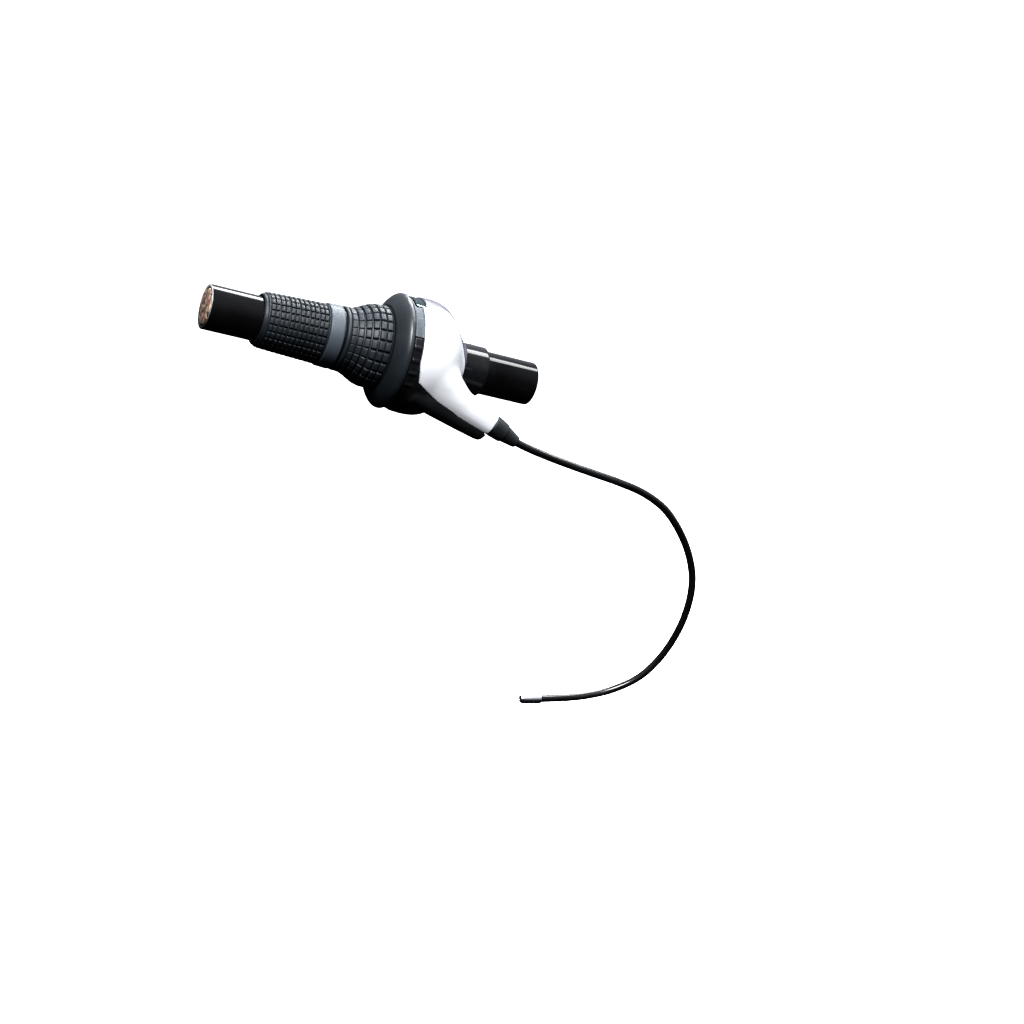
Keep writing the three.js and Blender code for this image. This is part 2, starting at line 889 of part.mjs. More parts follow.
function clampEars() {
  const middle = collarEnd - earLength / 2 - barEdge;
  const half = earLength / 2;
  const inner = barRadius + seatGap;
  return block(middle - half, middle + half, inner, earReach, -earHeight, earHeight);
}

const clampAxis = new THREE.Vector3(
  collarEnd - earLength / 2 - barEdge,
  (collarRadius + earReach) / 2,
  0
);
const up = new THREE.Vector3(0, 0, 1);

function clampScrew() {
  const top = earHeight + seatGap;
  const end = -earHeight - clampNutHeight - 2 * seatGap;
  const body = turnedAlong(clampAxis, up, [
    [end, 0],
    [end, clampScrewRadius],
    [top, clampScrewRadius],
    [top, clampHeadRadius],
    [top + clampHeadHeight - barEdge, clampHeadRadius],
    [top + clampHeadHeight, clampHeadRadius - barEdge],
    [top + clampHeadHeight, 0]
  ]);
  const socketFloor = top + clampHeadHeight / 2;
  const socketMouth = top + clampHeadHeight + overrun;
  return cut(body, rod(clampAxis, up, socketFloor, socketMouth, clampSocketRadius, 6));
}

function clampNut() {
  const top = -earHeight - seatGap;
  const nut = rod(clampAxis, up, top - clampNutHeight, top, clampNutRadius, 6);
  const reach = overrun + clampNutHeight;
  const bore = roundBore(clampScrewRadius + seatGap, smallSides);
  return cut(nut, rod(clampAxis, up, top - reach, top + reach, bore));
}

function springPosts() {
  const top = -detentRadius - springThickness - seatGap * 2;
  const start = detentStart;
  const end = wallStart + overrun;
  const half = springPost / 2;
  const post = (y) => block(start, end, y - half, y + half, -cavityRadius - overrun, top);
  const shell = disc(start - overrun, end + overrun, cavityRadius + seatGap);
  return joined(post(-springSpan), post(springSpan)).intersect(shell);
}

function detentSpring() {
  const top = -detentRadius - seatGap;
  const bottom = top - springThickness;
  const start = detentStart + seatGap;
  const end = detentEnd - seatGap;
  const reach = springSpan + springPost / 2;
  const strip = block(start, end, -reach, reach, bottom, top);
  const tip = -detentRadius + detentDepth - seatGap - springHump;
  const centre = new THREE.Vector3(0, 0, tip);
  const hump = rod(centre, new THREE.Vector3(1, 0, 0), start, end, springHump, smallSides / 2);
  const above = block(start, end, -reach, reach, bottom, 0);
  return joined(strip, hump.intersect(above));
}

function bandRibBlocks() {
  const ribs = Array.from({ length: bandRibs }, (_, i) => {
    const angle = 180 + (i - 1) * bandRibPitch;
    const half = THREE.MathUtils.radToDeg(bandRibWidth / 2 / frontBandRadius);
    const inner = frontBandRadius - bandRibHeight;
    const outer = frontBandRadius + bandRibHeight;
    const [from, to] = [housingStart + barEdge, bandEnd - barEdge];
    return arcPlate(from, to, inner, outer, angle - half, angle + half);
  });
  return joined(...ribs);
}

function housingBase() {
  const inset = coverWall + seatGap;
  const frontBand = disc(housingStart, bandEnd, frontBandRadius);
  const lower = cut(joined(domeBody(inset), keelBody()), coverZone(0));
  const outside = joined(lower, cut(frontBand, coverZone(seatGap)));
  const outer = joined(domeBody(0), noseBody(0));
  const inside = joined(domeBody(inset), noseBody(inset)).intersect(outer);
  const collar = disc(wallStart, collarEnd, collarRadius);
  const body = joined(outside, inside, collar, clampEars(), bandRibBlocks());
  const cavity = disc(housingStart - overrun, wallStart, roundBore(cavityRadius, roundSides));
  const shell = joined(cut(body, cavity, indicatorSlot()), scaleShelf(), springPosts());
  const barBore = roundBore(barRadius + seatGap, roundSides);
  const bore = disc(housingStart - overrun, collarEnd + overrun, barBore);
  const halfSlit = clampSlit / 2;
  const slitEnd = collarEnd + overrun;
  const slit = block(domeEnd + seatGap, slitEnd, 0, earReach + overrun, -halfSlit, halfSlit);
  const screwBore = roundBore(clampScrewRadius + seatGap, smallSides);
  const screwHole = rod(clampAxis, up, -earHeight - overrun, earHeight + overrun, screwBore);
  const socketDepth = capLengthNose + seatGap * 2;
  const socket = rod(noseEnd, nose, -socketDepth, overrun, roundBore(capRadius + seatGap, smallSides));
  const channelLength = guideEnd.distanceTo(noseEnd) - capLengthNose;
  const channel = rod(guideEnd, nose, -overrun / 3, channelLength, wireBore);
  const guide = guideTube(guideRadius + seatGap);
  const openings = [bore, slit, screwHole, socket, channel, guide];
  return cut(shell, ...openings, ...coverScrewAngles.map(coverScrewHole));
}

// Casing, caps and boot

function capProfile(length) {
  const bore = roundBore(casingRadius + seatGap, smallSides);
  return [
    [0, bore],
    [0, capRadius],
    [length, capRadius],
    [length, wireBore],
    [length - capFloor, wireBore],
    [length - capFloor, bore]
  ];
}

function casingCap(origin, direction, length) {
  const profile = capProfile(length);
  return turnedAlong(origin, direction, [...profile, profile[0]]);
}

function boot() {
  const bore = roundBore(casingRadius + seatGap, smallSides);
  const start = seatGap;
  const profile = [
    [start, bore],
    [start, bootRadius - bootRound],
    [start + bootRound, bootRadius],
    [start + 3 * bootRound, bootRadius],
    [bootStepLength - bootRound, bootStepRadius + bootStepHeight],
    [bootStepLength, bootStepRadius],
    [bootLength - bootRound, bootTipRadius],
    [bootLength, bootTipRadius - bootRound / 2],
    [bootLength, bore]
  ];
  return turnedAlong(noseEnd, nose, [...profile, profile[0]]);
}

const toOrigin = new THREE.Vector3(-barLength, 0, 0);
const casingStart = noseEnd.clone().addScaledVector(nose, -capLengthNose + capFloor + seatGap);
const bootMouth = noseEnd.clone().addScaledVector(nose, bootLength);
const routePoints = casingRoute.map((point) => new THREE.Vector3(...point));
const casingCurve = new THREE.CatmullRomCurve3([
  casingStart.clone().add(toOrigin),
  noseEnd.clone().add(toOrigin),
  noseEnd.clone().addScaledVector(nose, bootLength / 2).add(toOrigin),
  bootMouth.clone().add(toOrigin),
  ...routePoints
]);

function casing() {
  const steps = Math.round(casingCurve.getLength() / (5 * casingRadius));
  return along(casingCurve, casingRadius, steps, 10);
}

function farCap() {
  const end = casingCurve.getPoint(1);
  const direction = casingCurve.getTangent(1);
  const start = end.clone().addScaledVector(direction, capFloor + seatGap - capLengthEnd);
  return casingCap(start, direction, capLengthEnd);
}

// Looks

const glossBlack = { color: 0x0b0b0d, roughness: 0.18, metalness: 0.1 };
const composite = { color: 0x8a6a4e, roughness: 0.9, metalness: 0 };
const rubber = { color: 0x2b2f33, roughness: 0.85, metalness: 0 };
const darkPlastic = { color: 0x1c1d1f, roughness: 0.55, metalness: 0 };
const washerPlastic = { color: 0x101012, roughness: 0.5, metalness: 0 };
const palePlastic = { color: 0xd8d8d2, roughness: 0.5, metalness: 0 };
const silver = { color: 0xc9ccd1, roughness: 0.35, metalness: 0.6 };
const smoke = { color: 0x17181c, roughness: 0.08, metalness: 0 };
const needleOrange = { color: 0xe0561c, roughness: 0.5, metalness: 0 };
const steel = { color: 0x9a9ca0, roughness: 0.35, metalness: 1 };
const blackSteel = { color: 0x1a1a1c, roughness: 0.35, metalness: 0.8 };
const casingBlack = { color: 0x0e0e10, roughness: 0.4, metalness: 0 };
const brass = { color: 0xb08d4a, roughness: 0.35, metalness: 1 };

// Assembly

const washerEnd = washerStart + washerThickness;
const spacerWasher = ring(washerStart, washerEnd, tubeBore, neckRadius - washerInset);
const hubWasherEnd = hubWasherStart + hubWasherThickness;
const hubWasher = ring(hubWasherStart, hubWasherEnd, tubeBore, hubRadius + keyHeight);
const noseCap = casingCap(noseEnd, nose.clone().negate(), capLengthNose);

const onBar = new THREE.Group();
onBar.position.copy(toOrigin);
onBar.add(
  mesh('handlebar_tube', handlebar(), glossBlack),
  mesh('bar_end_plug', barEndPlug(), composite),
  mesh('fixed_grip_sleeve', fixedGrip(), rubber),
  mesh('grip_spacer_washer', spacerWasher, washerPlastic),
  mesh('twist_grip_rubber', twistGripRubber(), rubber),
  mesh('twist_grip_tube', twistTube(), darkPlastic),
  mesh('cable_drum', cableDrum(), palePlastic),
  mesh('detent_ring', detentRing(), darkPlastic),
  mesh('detent_spring', detentSpring(), steel),
  mesh('hub_washer', hubWasher, palePlastic),
  mesh('shift_wire_end', wireOnDrum(), steel),
  mesh('shift_wire_lead', wireLead(), steel),
  mesh('wire_guide', wireGuide(), palePlastic),
  mesh('housing_base', housingBase(), darkPlastic),
  mesh('housing_cover', housingCover(), silver),
  mesh('indicator_window', indicatorWindow(), smoke),
  mesh('indicator_scale', indicatorScale(), palePlastic),
  mesh('indicator_needle', indicatorNeedle(), needleOrange),
  mesh('cover_screw_rear', coverScrew(coverScrewRearAngle), blackSteel),
  mesh('cover_screw_top', coverScrew(coverScrewTopAngle), blackSteel),
  mesh('clamp_screw', clampScrew(), steel),
  mesh('clamp_nut', clampNut(), steel),
  mesh('casing_cap_nose', noseCap, brass),
  mesh('cable_boot', boot(), rubber)
);

const part = new THREE.Group();
part.add(
  onBar,
  mesh('cable_casing', casing(), casingBlack),
  mesh('casing_cap_end', farCap(), steel)
);

export default part;
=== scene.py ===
import math

import bpy
from mathutils import Matrix, Quaternion, Vector


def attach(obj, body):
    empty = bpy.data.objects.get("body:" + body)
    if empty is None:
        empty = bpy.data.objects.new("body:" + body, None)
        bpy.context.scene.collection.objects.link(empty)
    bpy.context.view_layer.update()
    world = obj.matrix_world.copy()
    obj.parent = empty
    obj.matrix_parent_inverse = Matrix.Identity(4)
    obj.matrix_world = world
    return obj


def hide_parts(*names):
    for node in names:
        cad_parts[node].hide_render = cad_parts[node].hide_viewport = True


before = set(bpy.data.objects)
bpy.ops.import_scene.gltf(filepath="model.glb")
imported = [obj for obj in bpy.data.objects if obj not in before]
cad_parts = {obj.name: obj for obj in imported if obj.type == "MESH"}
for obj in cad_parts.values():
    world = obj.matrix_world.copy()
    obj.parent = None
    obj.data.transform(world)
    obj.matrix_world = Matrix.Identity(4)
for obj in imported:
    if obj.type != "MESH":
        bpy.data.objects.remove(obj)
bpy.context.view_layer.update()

MM = 0.001
DOUBLE_GAP = 2e-6
BAR_LENGTH = 176
FIXED, TURNING = "bar_end", "twist_grip"


def at(station):
    """The place along X of a station, which is counted in millimetres from the open bar end."""
    return (station - BAR_LENGTH) * MM


# The camera, which stands where the photograph was taken from.

VIEW_AZIMUTH, VIEW_ELEVATION, VIEW_LEAN = -25.58, 8.0, 15.36
VIEW_PLACE = (-0.3969, -0.8507, 0.0645)
VIEW_LENS = 63.28


def set_camera():
    azimuth, elevation = math.radians(VIEW_AZIMUTH), math.radians(VIEW_ELEVATION)
    ahead = Vector((
        -math.sin(azimuth) * math.cos(elevation),
        math.cos(azimuth) * math.cos(elevation),
        -math.sin(elevation),
    ))
    level = ahead.to_track_quat("-Z", "Y")
    camera = bpy.data.objects.new("camera", bpy.data.cameras.new("camera"))
    bpy.context.scene.collection.objects.link(camera)
    camera.data.sensor_width = 36
    camera.data.lens = VIEW_LENS
    camera.data.clip_start, camera.data.clip_end = 0.01, 50
    camera.location = VIEW_PLACE
    camera.rotation_mode = "QUATERNION"
    camera.rotation_quaternion = level @ Quaternion((0, 0, 1), math.radians(VIEW_LEAN))
    bpy.context.scene.camera = camera


set_camera()


# How pieces are picked, placed, mended and joined.

def rest():
    """Goes back to object mode, selects nothing and sets edit mode to pick points."""
    if bpy.context.object and bpy.context.object.mode != "OBJECT":
        bpy.ops.object.mode_set(mode="OBJECT")
    bpy.ops.object.select_all(action="DESELECT")
    bpy.context.tool_settings.mesh_select_mode = (True, False, False)


def edit():
    """Goes to edit mode with all of the active piece selected."""
    bpy.ops.object.mode_set(mode="EDIT")
    bpy.ops.mesh.select_all(action="SELECT")


def face_outwards():
    """Points every face of the edited piece outwards and leaves edit mode."""
    bpy.ops.mesh.select_all(action="SELECT")
    bpy.ops.mesh.normals_make_consistent(inside=False)
    bpy.ops.object.mode_set(mode="OBJECT")


def draw_out(step):
    """Draws out what is selected in edit mode by one step."""
    bpy.ops.mesh.extrude_region_move(TRANSFORM_OT_translate={"value": step})


def pick(*pieces):
    rest()
    for piece in pieces:
        piece.select_set(True)
    bpy.context.view_layer.objects.active = pieces[-1]


def named(name):
    piece = bpy.context.object
    piece.name = name
    piece.data.name = name
    return piece


def settle(piece):
    """Puts the place and turn of an object into its mesh."""
    pick(piece)
    bpy.ops.object.transform_apply(location=True, rotation=True, scale=True)
    return piece


def place(piece, matrix):
    piece.matrix_world = matrix @ piece.matrix_world
    return settle(piece)


def mend(piece):
    """Merges doubles, closes what is open and points every face outwards."""
    pick(piece)
    edit()
    bpy.ops.mesh.remove_doubles(threshold=DOUBLE_GAP)
    bpy.ops.mesh.select_all(action="DESELECT")
    bpy.ops.mesh.select_mode(type="EDGE")
    bpy.ops.mesh.select_non_manifold()
    bpy.ops.mesh.fill_holes(sides=0)
    face_outwards()
    return piece


def smooth(piece, angle=35):
    pick(piece)
    bpy.ops.object.shade_smooth_by_angle(angle=math.radians(angle))
    return piece


def modify(piece, kind, **settings):
    """Adds one modifier, sets it and applies it."""
    pick(piece)
    change = piece.modifiers.new(kind.lower(), kind)
    for key, value in settings.items():
        setattr(change, key, value)
    bpy.ops.object.modifier_apply(modifier=change.name)
    return piece


def rounded(piece, width, segments, angle=30):
    return modify(
        piece, "BEVEL", width=width * MM, segments=segments,
        limit_method="ANGLE", angle_limit=math.radians(angle),
    )


def combine(piece, how, *tools):
    """Joins, cuts or keeps the common part of closed pieces. The tools are used up."""
    for tool in tools:
        modify(piece, "BOOLEAN", operation=how, object=tool, solver="MANIFOLD")
        bpy.data.objects.remove(tool)
    return piece


def cloned(piece, name):
    pick(piece)
    bpy.ops.object.duplicate()
    return named(name)


def joined(name, *pieces):
    pick(*pieces)
    bpy.ops.object.join()
    return named(name)


def finished(piece, body, slot, *nodes, finish=None):
    """Gives a piece the finish of its slot or the one named, puts it in its body and hides the CAD
    nodes it stands for.
    """
    piece.data.materials.clear()
    piece.data.materials.append(MATERIALS[finish or slot])
    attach(piece, body)
    if nodes:
        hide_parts(*nodes)
    return piece


# The forms that the pieces start from.

def turned(name, profile, sides=96):
    """A circle drawn out from ring to ring about the bar. Each point is a station and a radius."""
    rest()
    (station, radius), *others = profile
    bpy.ops.mesh.primitive_circle_add(
        vertices=sides, radius=radius * MM, fill_type="NOTHING",
        location=(at(station), 0, 0), rotation=(0, math.pi / 2, 0),
    )
    piece = settle(named(name))
    edit()
    for next_station, next_radius in others:
        step = (next_station - station) * MM
        draw_out((step, 0, 0))
        grow = next_radius / radius
        bpy.ops.transform.resize(value=(1, grow, grow), center_override=(at(next_station), 0, 0))
        station, radius = next_station, next_radius
    return smooth(mend(piece))


def ring(name, profile, sides=96):
    """A turned piece with a bore: the profile closes on itself."""
    return turned(name, [*profile, profile[0]], sides)


def bar_shape(name, low, high):
    """A plain block between two corners, in stations and millimetres."""
    rest()
    corners = [Vector((at(low[0]), low[1] * MM, low[2] * MM)),
               Vector((at(high[0]), high[1] * MM, high[2] * MM))]
    bpy.ops.mesh.primitive_cube_add(size=1, location=(corners[0] + corners[1]) / 2)
    piece = named(name)
    piece.scale = corners[1] - corners[0]
    return settle(piece)


def swept(name, start, end, inner, outer, from_angle, to_angle):
    """A plate bent round the bar, spun from its end face. 0 degrees is the rear, 90 the top."""
    rest()
    turn = math.radians(from_angle)
    middle = (inner + outer) / 2 * MM
    bpy.ops.mesh.primitive_plane_add(
        size=1, location=(at((start + end) / 2), middle, 0),
    )
    piece = named(name)
    piece.scale = ((end - start) * MM, (outer - inner) * MM, 1)
    settle(piece)
    place(piece, Matrix.Rotation(turn, 4, "X"))
    edit()
    bpy.ops.mesh.spin(
        steps=max(4, int(abs(to_angle - from_angle) / 3)),
        angle=-math.radians(to_angle - from_angle), center=(0, 0, 0), axis=(1, 0, 0),
    )
    face_outwards()
    return smooth(piece)


def along(direction, origin):
    """Where a form made along the bar goes when it lies along another line."""
    turn = Vector((1, 0, 0)).rotation_difference(Vector(direction)).to_matrix().to_4x4()
    from_bar = Matrix.Translation((BAR_LENGTH * MM, 0, 0))
    return Matrix.Translation(Vector(origin)) @ turn @ from_bar


def softened(profile, reach, closed=False):
    """Rounds the corners of a profile. Each corner becomes a short curve of five points."""
    points = [Vector(point) for point in profile]
    made = []
    for i, corner in enumerate(points):
        if not closed and i in (0, len(points) - 1):
            made.append(corner)
            continue
        before, after = points[i - 1], points[(i + 1) % len(points)]
        cut = min(reach, (before - corner).length * 0.45, (after - corner).length * 0.45)
        start = corner + (before - corner).normalized() * cut
        end = corner + (after - corner).normalized() * cut
        for t in (0, 0.25, 0.5, 0.75, 1):
            made.append(start.lerp(corner, t).lerp(corner.lerp(end, t), t))
    return [tuple(point) for point in made]


def slab(name, outline, depth):
    """An outline of stations and heights, drawn out to both sides of the bar."""
    rest()
    bpy.ops.mesh.primitive_plane_add(size=1)
    piece = named(name)
    edit()
    bpy.ops.mesh.merge(type="CENTER")
    here = Vector((0, 0, 0))
    first = True
    for station, height in outline:
        there = Vector((at(station), -depth * MM, height * MM))
        if first:
            bpy.ops.transform.translate(value=there - here)
        else:
            draw_out(there - here)
        first = False
        here = there
    bpy.ops.mesh.select_all(action="SELECT")
    bpy.ops.mesh.edge_face_add()
    draw_out((0, 2 * depth * MM, 0))
    face_outwards()
    return piece


def offset(piece, distance):
    """Moves a closed skin outwards, or inwards with a negative distance."""
    pick(piece)
    edit()
    bpy.ops.transform.shrink_fatten(value=distance * MM)
    bpy.ops.object.mode_set(mode="OBJECT")
    return piece


def trimmed(piece, point, outward):
    """Cuts a closed piece off at a plane and closes the cut."""
    pick(piece)
    edit()
    bpy.ops.mesh.bisect(plane_co=point, plane_no=outward, use_fill=True, clear_outer=True)
    bpy.ops.object.mode_set(mode="OBJECT")
    return piece


def remade(piece, size, passes):
    """Turns a joined body into one even skin and smooths it, so its forms flow together."""
    modify(piece, "REMESH", mode="VOXEL", voxel_size=size * MM, use_smooth_shade=True)
    return modify(piece, "SMOOTH", factor=0.5, iterations=passes)


def melted(piece, middle, reach, passes):
    """Smooths a skin fully round one place, and less and less away from it."""
    soft = piece.vertex_groups.new(name="soft")
    for point in piece.data.vertices:
        near = 1 - (point.co - Vector(middle)).length / (reach * MM)
        if near > 0:
            soft.add([point.index], min(1, near * 1.8), "REPLACE")
    modify(piece, "SMOOTH", factor=0.5, iterations=passes, vertex_group="soft")
    piece.vertex_groups.clear()
    return piece


# Sizes in millimetres. A START or an END is a station along the bar.

BAR_RADIUS, BAR_WALL = 11.1, 1.6
GRIP_ROWS, BLOCK_SINK = 24, 0.12
FIXED_START, FIXED_FIELD, FIXED_COLUMNS, FIXED_PITCH = 26, 28.6, 12, 2.48
FIXED_RADIUS, FIXED_SWELL, FIXED_HEIGHT = 13.8, 1.4, 0.9
BAND_RADIUS, FIXED_END = 16.1, 66.66
TWIST_START, TWIST_FIELD, TWIST_COLUMNS, TWIST_PITCH = 67.76, 69.96, 6, 3.3
NECK_RADIUS, TWIST_HEIGHT, TWIST_END = 16.2, 1.2, 90.26
TUBE_BORE, TUBE_RADIUS = 11.4, 13.5
FLANGE_START, FLANGE_BACK, FLANGE_RADIUS = 90.56, 97.76, 29.5
HOUSING_START, BAND_END, CROWN, DOME_END, COLLAR_END = 98.26, 103.06, 108.06, 135.56, 147.06
BAND_FRONT_RADIUS, SHOULDER_RADIUS, CROWN_RADIUS, COLLAR_RADIUS = 28.6, 29.3, 29.8, 12.7
COVER_WALL, SEAT_GAP = 1.7, 0.3
CAVITY_RADIUS, WALL_START = 25.4, 112.16
DOME_RUN, SCREW_RUN = 27.5, 6
CLAMP_AT = (at(142.36), 16.65 * MM, 0)
NOSE = Vector((0.93358, 0, -0.35837))
NOSE_UP = Vector((0.35837, 0, 0.93358))
NOSE_END = Vector((at(152.46), -20.2 * MM, -23 * MM))
NOSE_LENGTH = 46
NOSE_START = NOSE_END - NOSE * NOSE_LENGTH * MM
NOSE_FACE = NOSE_END - NOSE * 0.8 * MM
# The balls that the nose and its cheek are drawn over, one in each bracket: station, degrees
# below the front, radius, and distance of its centre from the bar's axis.
NOSE_BALLS = [(112, 27, 9.5, 19.7), (111, 40, 9, 20.2), (120, 42, 7, 20.5)]
CHEEK_BALLS = [(110, 2, 13, 16.4), (112, 22, 13, 16.2), (117, 18, 10, 17.4), (110, 40, 11, 18.2)]
# The cover's crest line, with painted shade behind it and on it: how far it lies in front of
# the bar's axis at the band's end, and how much further it lies with each millimetre inboard.
CREST_LINE_DEPTH, CREST_LINE_SLANT = 9.6, 0.13


# The shift casing, from its cap inside the nose to the one at its far end.

CASING_RADIUS = 2.0
CASING_ROUTE = [
    (-30.729, -20.2, -20.241), (-23.54, -20.2, -23), (-15.604, -20.2, -26.046),
    (-7.669, -20.2, -29.092), (5, -20.8, -31.7), (20, -22, -33.8), (37, -23, -35.7),
    (54, -23.5, -37.5), (71, -23, -40.5), (86.5, -22, -46.5), (100, -20, -56.5),
    (112, -17, -69), (120.5, -14, -83), (125, -10, -98.5), (125.5, -6, -115),
    (122, -2, -131.5), (114, 1, -145.5), (101, 4, -156), (84.5, 6, -163),
    (67.5, 7, -167), (50, 7.5, -170),
]


def flowing(places, steps):
    """A centripetal curve through the places."""
    points = [Vector(place) for place in places]
    points = [points[0] * 2 - points[1], *points, points[-1] * 2 - points[-2]]
    curve = []
    for before, start, end, after in zip(points, points[1:], points[2:], points[3:]):
        sides = ((before, start), (start, end), (end, after))
        d0, d1, d2 = [math.sqrt((q - p).length) for p, q in sides]
        leave = ((start - before) / d0 - (end - before) / (d0 + d1) + (end - start) / d1) * d1
        arrive = ((end - start) / d1 - (after - start) / (d1 + d2) + (after - end) / d2) * d1
        for step in range(steps):
            t = step / steps
            curve.append(
                start + leave * t + (3 * (end - start) - 2 * leave - arrive) * t * t
                + (2 * (start - end) + leave + arrive) * t ** 3
            )
    return [*curve, points[-2]]


def cable_casing():
    route = [point * MM for point in flowing(CASING_ROUTE, 8)]
    data = bpy.data.curves.new("shift_casing", "CURVE")
    data.dimensions = "3D"
    spline = data.splines.new("POLY")
    spline.use_smooth = True
    spline.points.add(len(route) - 1)
    for point, place_on_route in zip(spline.points, route):
        point.co = (*place_on_route, 1)
    data.bevel_depth = CASING_RADIUS * MM
    data.bevel_resolution = 5
    data.use_fill_caps = True
    casing = bpy.data.objects.new("shift_casing", data)
    bpy.context.scene.collection.objects.link(casing)
    end, direction = route[-1], (route[-1] - route[-2]).normalized()
    cap = ring("casing_end_cap", softened([
        (0, 2.32), (0, 2.72), (10.6, 2.72), (10.9, 2.3),
        (11.9, 2.1), (11.9, 1.1), (10.9, 1.1), (10.9, 2.32),
    ], 0.25, closed=True), sides=32)
    place(cap, along(direction, end - direction * 10.7 * MM))
    finished(cap, FIXED, "steel", "casing_cap_end")
    finished(casing, FIXED, "casing_black", "cable_casing")


# What the finishes are made of.

def add(tree, kind, values=(), **settings):
    """One shader node. Values are numbers, colours or the sockets that feed its inputs."""
    made = tree.nodes.new("ShaderNode" + kind)
    for key, value in settings.items():
        setattr(made, key, value)
    for key, value in dict(values).items():
        if isinstance(value, bpy.types.NodeSocket):
            tree.links.new(value, made.inputs[key])
        else:
            made.inputs[key].default_value = value
    return made


def group(name, inputs, outputs):
    tree = bpy.data.node_groups.new(name, "ShaderNodeTree")
    for label, default in inputs.items():
        socket = tree.interface.new_socket(label, in_out="INPUT", socket_type="NodeSocketFloat")
        socket.default_value = default
    for label in outputs:
        tree.interface.new_socket(label, in_out="OUTPUT", socket_type="NodeSocketFloat")
    return tree, tree.nodes.new("NodeGroupInput"), tree.nodes.new("NodeGroupOutput")


def sum_of(tree, operation, first, second, clamp=False):
    return add(tree, "Math", {0: first, 1: second}, operation=operation, use_clamp=clamp).outputs[0]


def added(tree, value, share, onto):
    """A share of one value added onto another."""
    return add(tree, "Math", {0: value, 1: share, 2: onto}, operation="MULTIPLY_ADD").outputs[0]


def ranged(tree, value, low, high, to_low=0.0, to_high=1.0, **settings):
    made = add(tree, "MapRange", {
        "Value": value, "From Min": low, "From Max": high, "To Min": to_low, "To Max": to_high,
    }, **settings)
    return made.outputs["Result"]


def place_on(tree):
    """Where a point lies on the piece, in metres."""
    return add(tree, "TexCoord").outputs["Object"]


def grain_group():
    """Fine moulded grain: a height from small bumps over softer, wider ones."""
    tree, given, result = group("moulded_grain", {"Size": 0.4}, ["Height"])
    here = place_on(tree)
    scale = sum_of(tree, "DIVIDE", 1000.0, given.outputs["Size"])
    fine = add(tree, "TexNoise", {
        "Vector": here, "Scale": scale, "Detail": 3.0, "Roughness": 0.6,
    })
    pits = add(tree, "TexVoronoi", {"Vector": here, "Scale": scale}, feature="SMOOTH_F1")
    height = added(tree, pits.outputs["Distance"], 0.5, fine.outputs["Fac"])
    tree.links.new(height, result.inputs["Height"])
    return tree


def scratch_group():
    """Fine scratches in two directions, as a mask."""
    tree, given, result = group("fine_scratches", {"Amount": 0.5}, ["Mask"])
    here = place_on(tree)
    masks = []
    for turn, stretch in (((0.3, 0.2, 0.5), (60, 1400, 1400)), ((1.1, 0.7, 1.9), (1500, 80, 1500))):
        turned_to = add(tree, "Mapping", {"Vector": here, "Rotation": turn, "Scale": stretch})
        lines = add(tree, "TexNoise", {"Vector": turned_to.outputs[0], "Scale": 1.0, "Detail": 2.0})
        masks.append(ranged(tree, lines.outputs["Fac"], 0.66, 0.74))
    patches = add(tree, "TexNoise", {"Vector": here, "Scale": 90.0, "Detail": 2.0})
    where = ranged(tree, patches.outputs["Fac"], 0.45, 0.65)
    both = sum_of(tree, "MAXIMUM", *masks)
    marks = sum_of(tree, "MULTIPLY", both, where)
    mask = sum_of(tree, "MULTIPLY", marks, given.outputs["Amount"], True)
    tree.links.new(mask, result.inputs["Mask"])
    return tree


def dust_and_sheen_group():
    """Dust and handling marks with a painted sheen: more on what faces up, so tops read lighter,
    broken into patches and specks.
    """
    tree, given, result = group("dust_and_sheen", {"Amount": 0.5, "Upward": 0.7}, ["Mask"])
    here = place_on(tree)
    facing = add(tree, "SeparateXYZ", {0: add(tree, "NewGeometry").outputs["Normal"]}).outputs["Z"]
    # Painted sheen: what faces up gets more of the pale mark, so tops read lighter.
    up = ranged(tree, facing, -0.3, 1.0, 0.15, 1.0)
    share = add(tree, "Mix", {
        "Factor": given.outputs["Upward"], "A": 1.0, "B": up,
    }).outputs["Result"]
    cloud = add(tree, "TexNoise", {
        "Vector": here, "Scale": 70.0, "Detail": 6.0, "Roughness": 0.65,
    })
    specks = add(tree, "TexNoise", {
        "Vector": here, "Scale": 1600.0, "Detail": 2.0,
    })
    patches = ranged(tree, cloud.outputs["Fac"], 0.38, 0.68)
    dots = ranged(tree, specks.outputs["Fac"], 0.6, 0.72)
    patches = sum_of(tree, "MULTIPLY", patches, 0.65)
    dots = sum_of(tree, "MULTIPLY", dots, 0.35)
    marks = sum_of(tree, "MULTIPLY", sum_of(tree, "ADD", patches, dots), share)
    mask = sum_of(tree, "MULTIPLY", marks, given.outputs["Amount"], True)
    tree.links.new(mask, result.inputs["Mask"])
    return tree


GRAIN, SCRATCHES, DUST_AND_SHEEN = grain_group(), scratch_group(), dust_and_sheen_group()


def effect(tree, kind, **values):
    made = tree.nodes.new("ShaderNodeGroup")
    made.node_tree = kind
    for key, value in values.items():
        made.inputs[key].default_value = value
    return made.outputs[0]


def blended(tree, factor, first, second):
    made = add(tree, "Mix", data_type="RGBA")
    for index, value in ((0, factor), (6, first), (7, second)):
        socket = made.inputs[index]
        if isinstance(value, bpy.types.NodeSocket):
            tree.links.new(value, socket)
        else:
            socket.default_value = value
    return made.outputs[2]


def rgb(red, green, blue):
    return (red, green, blue, 1.0)


def varied(tree, low, high, scale=60.0):
    """A colour that drifts between two tones over the surface."""
    here = place_on(tree)
    drift = add(tree, "TexNoise", {"Vector": here, "Scale": scale, "Detail": 4.0})
    return blended(tree, ranged(tree, drift.outputs["Fac"], 0.35, 0.65), low, high)


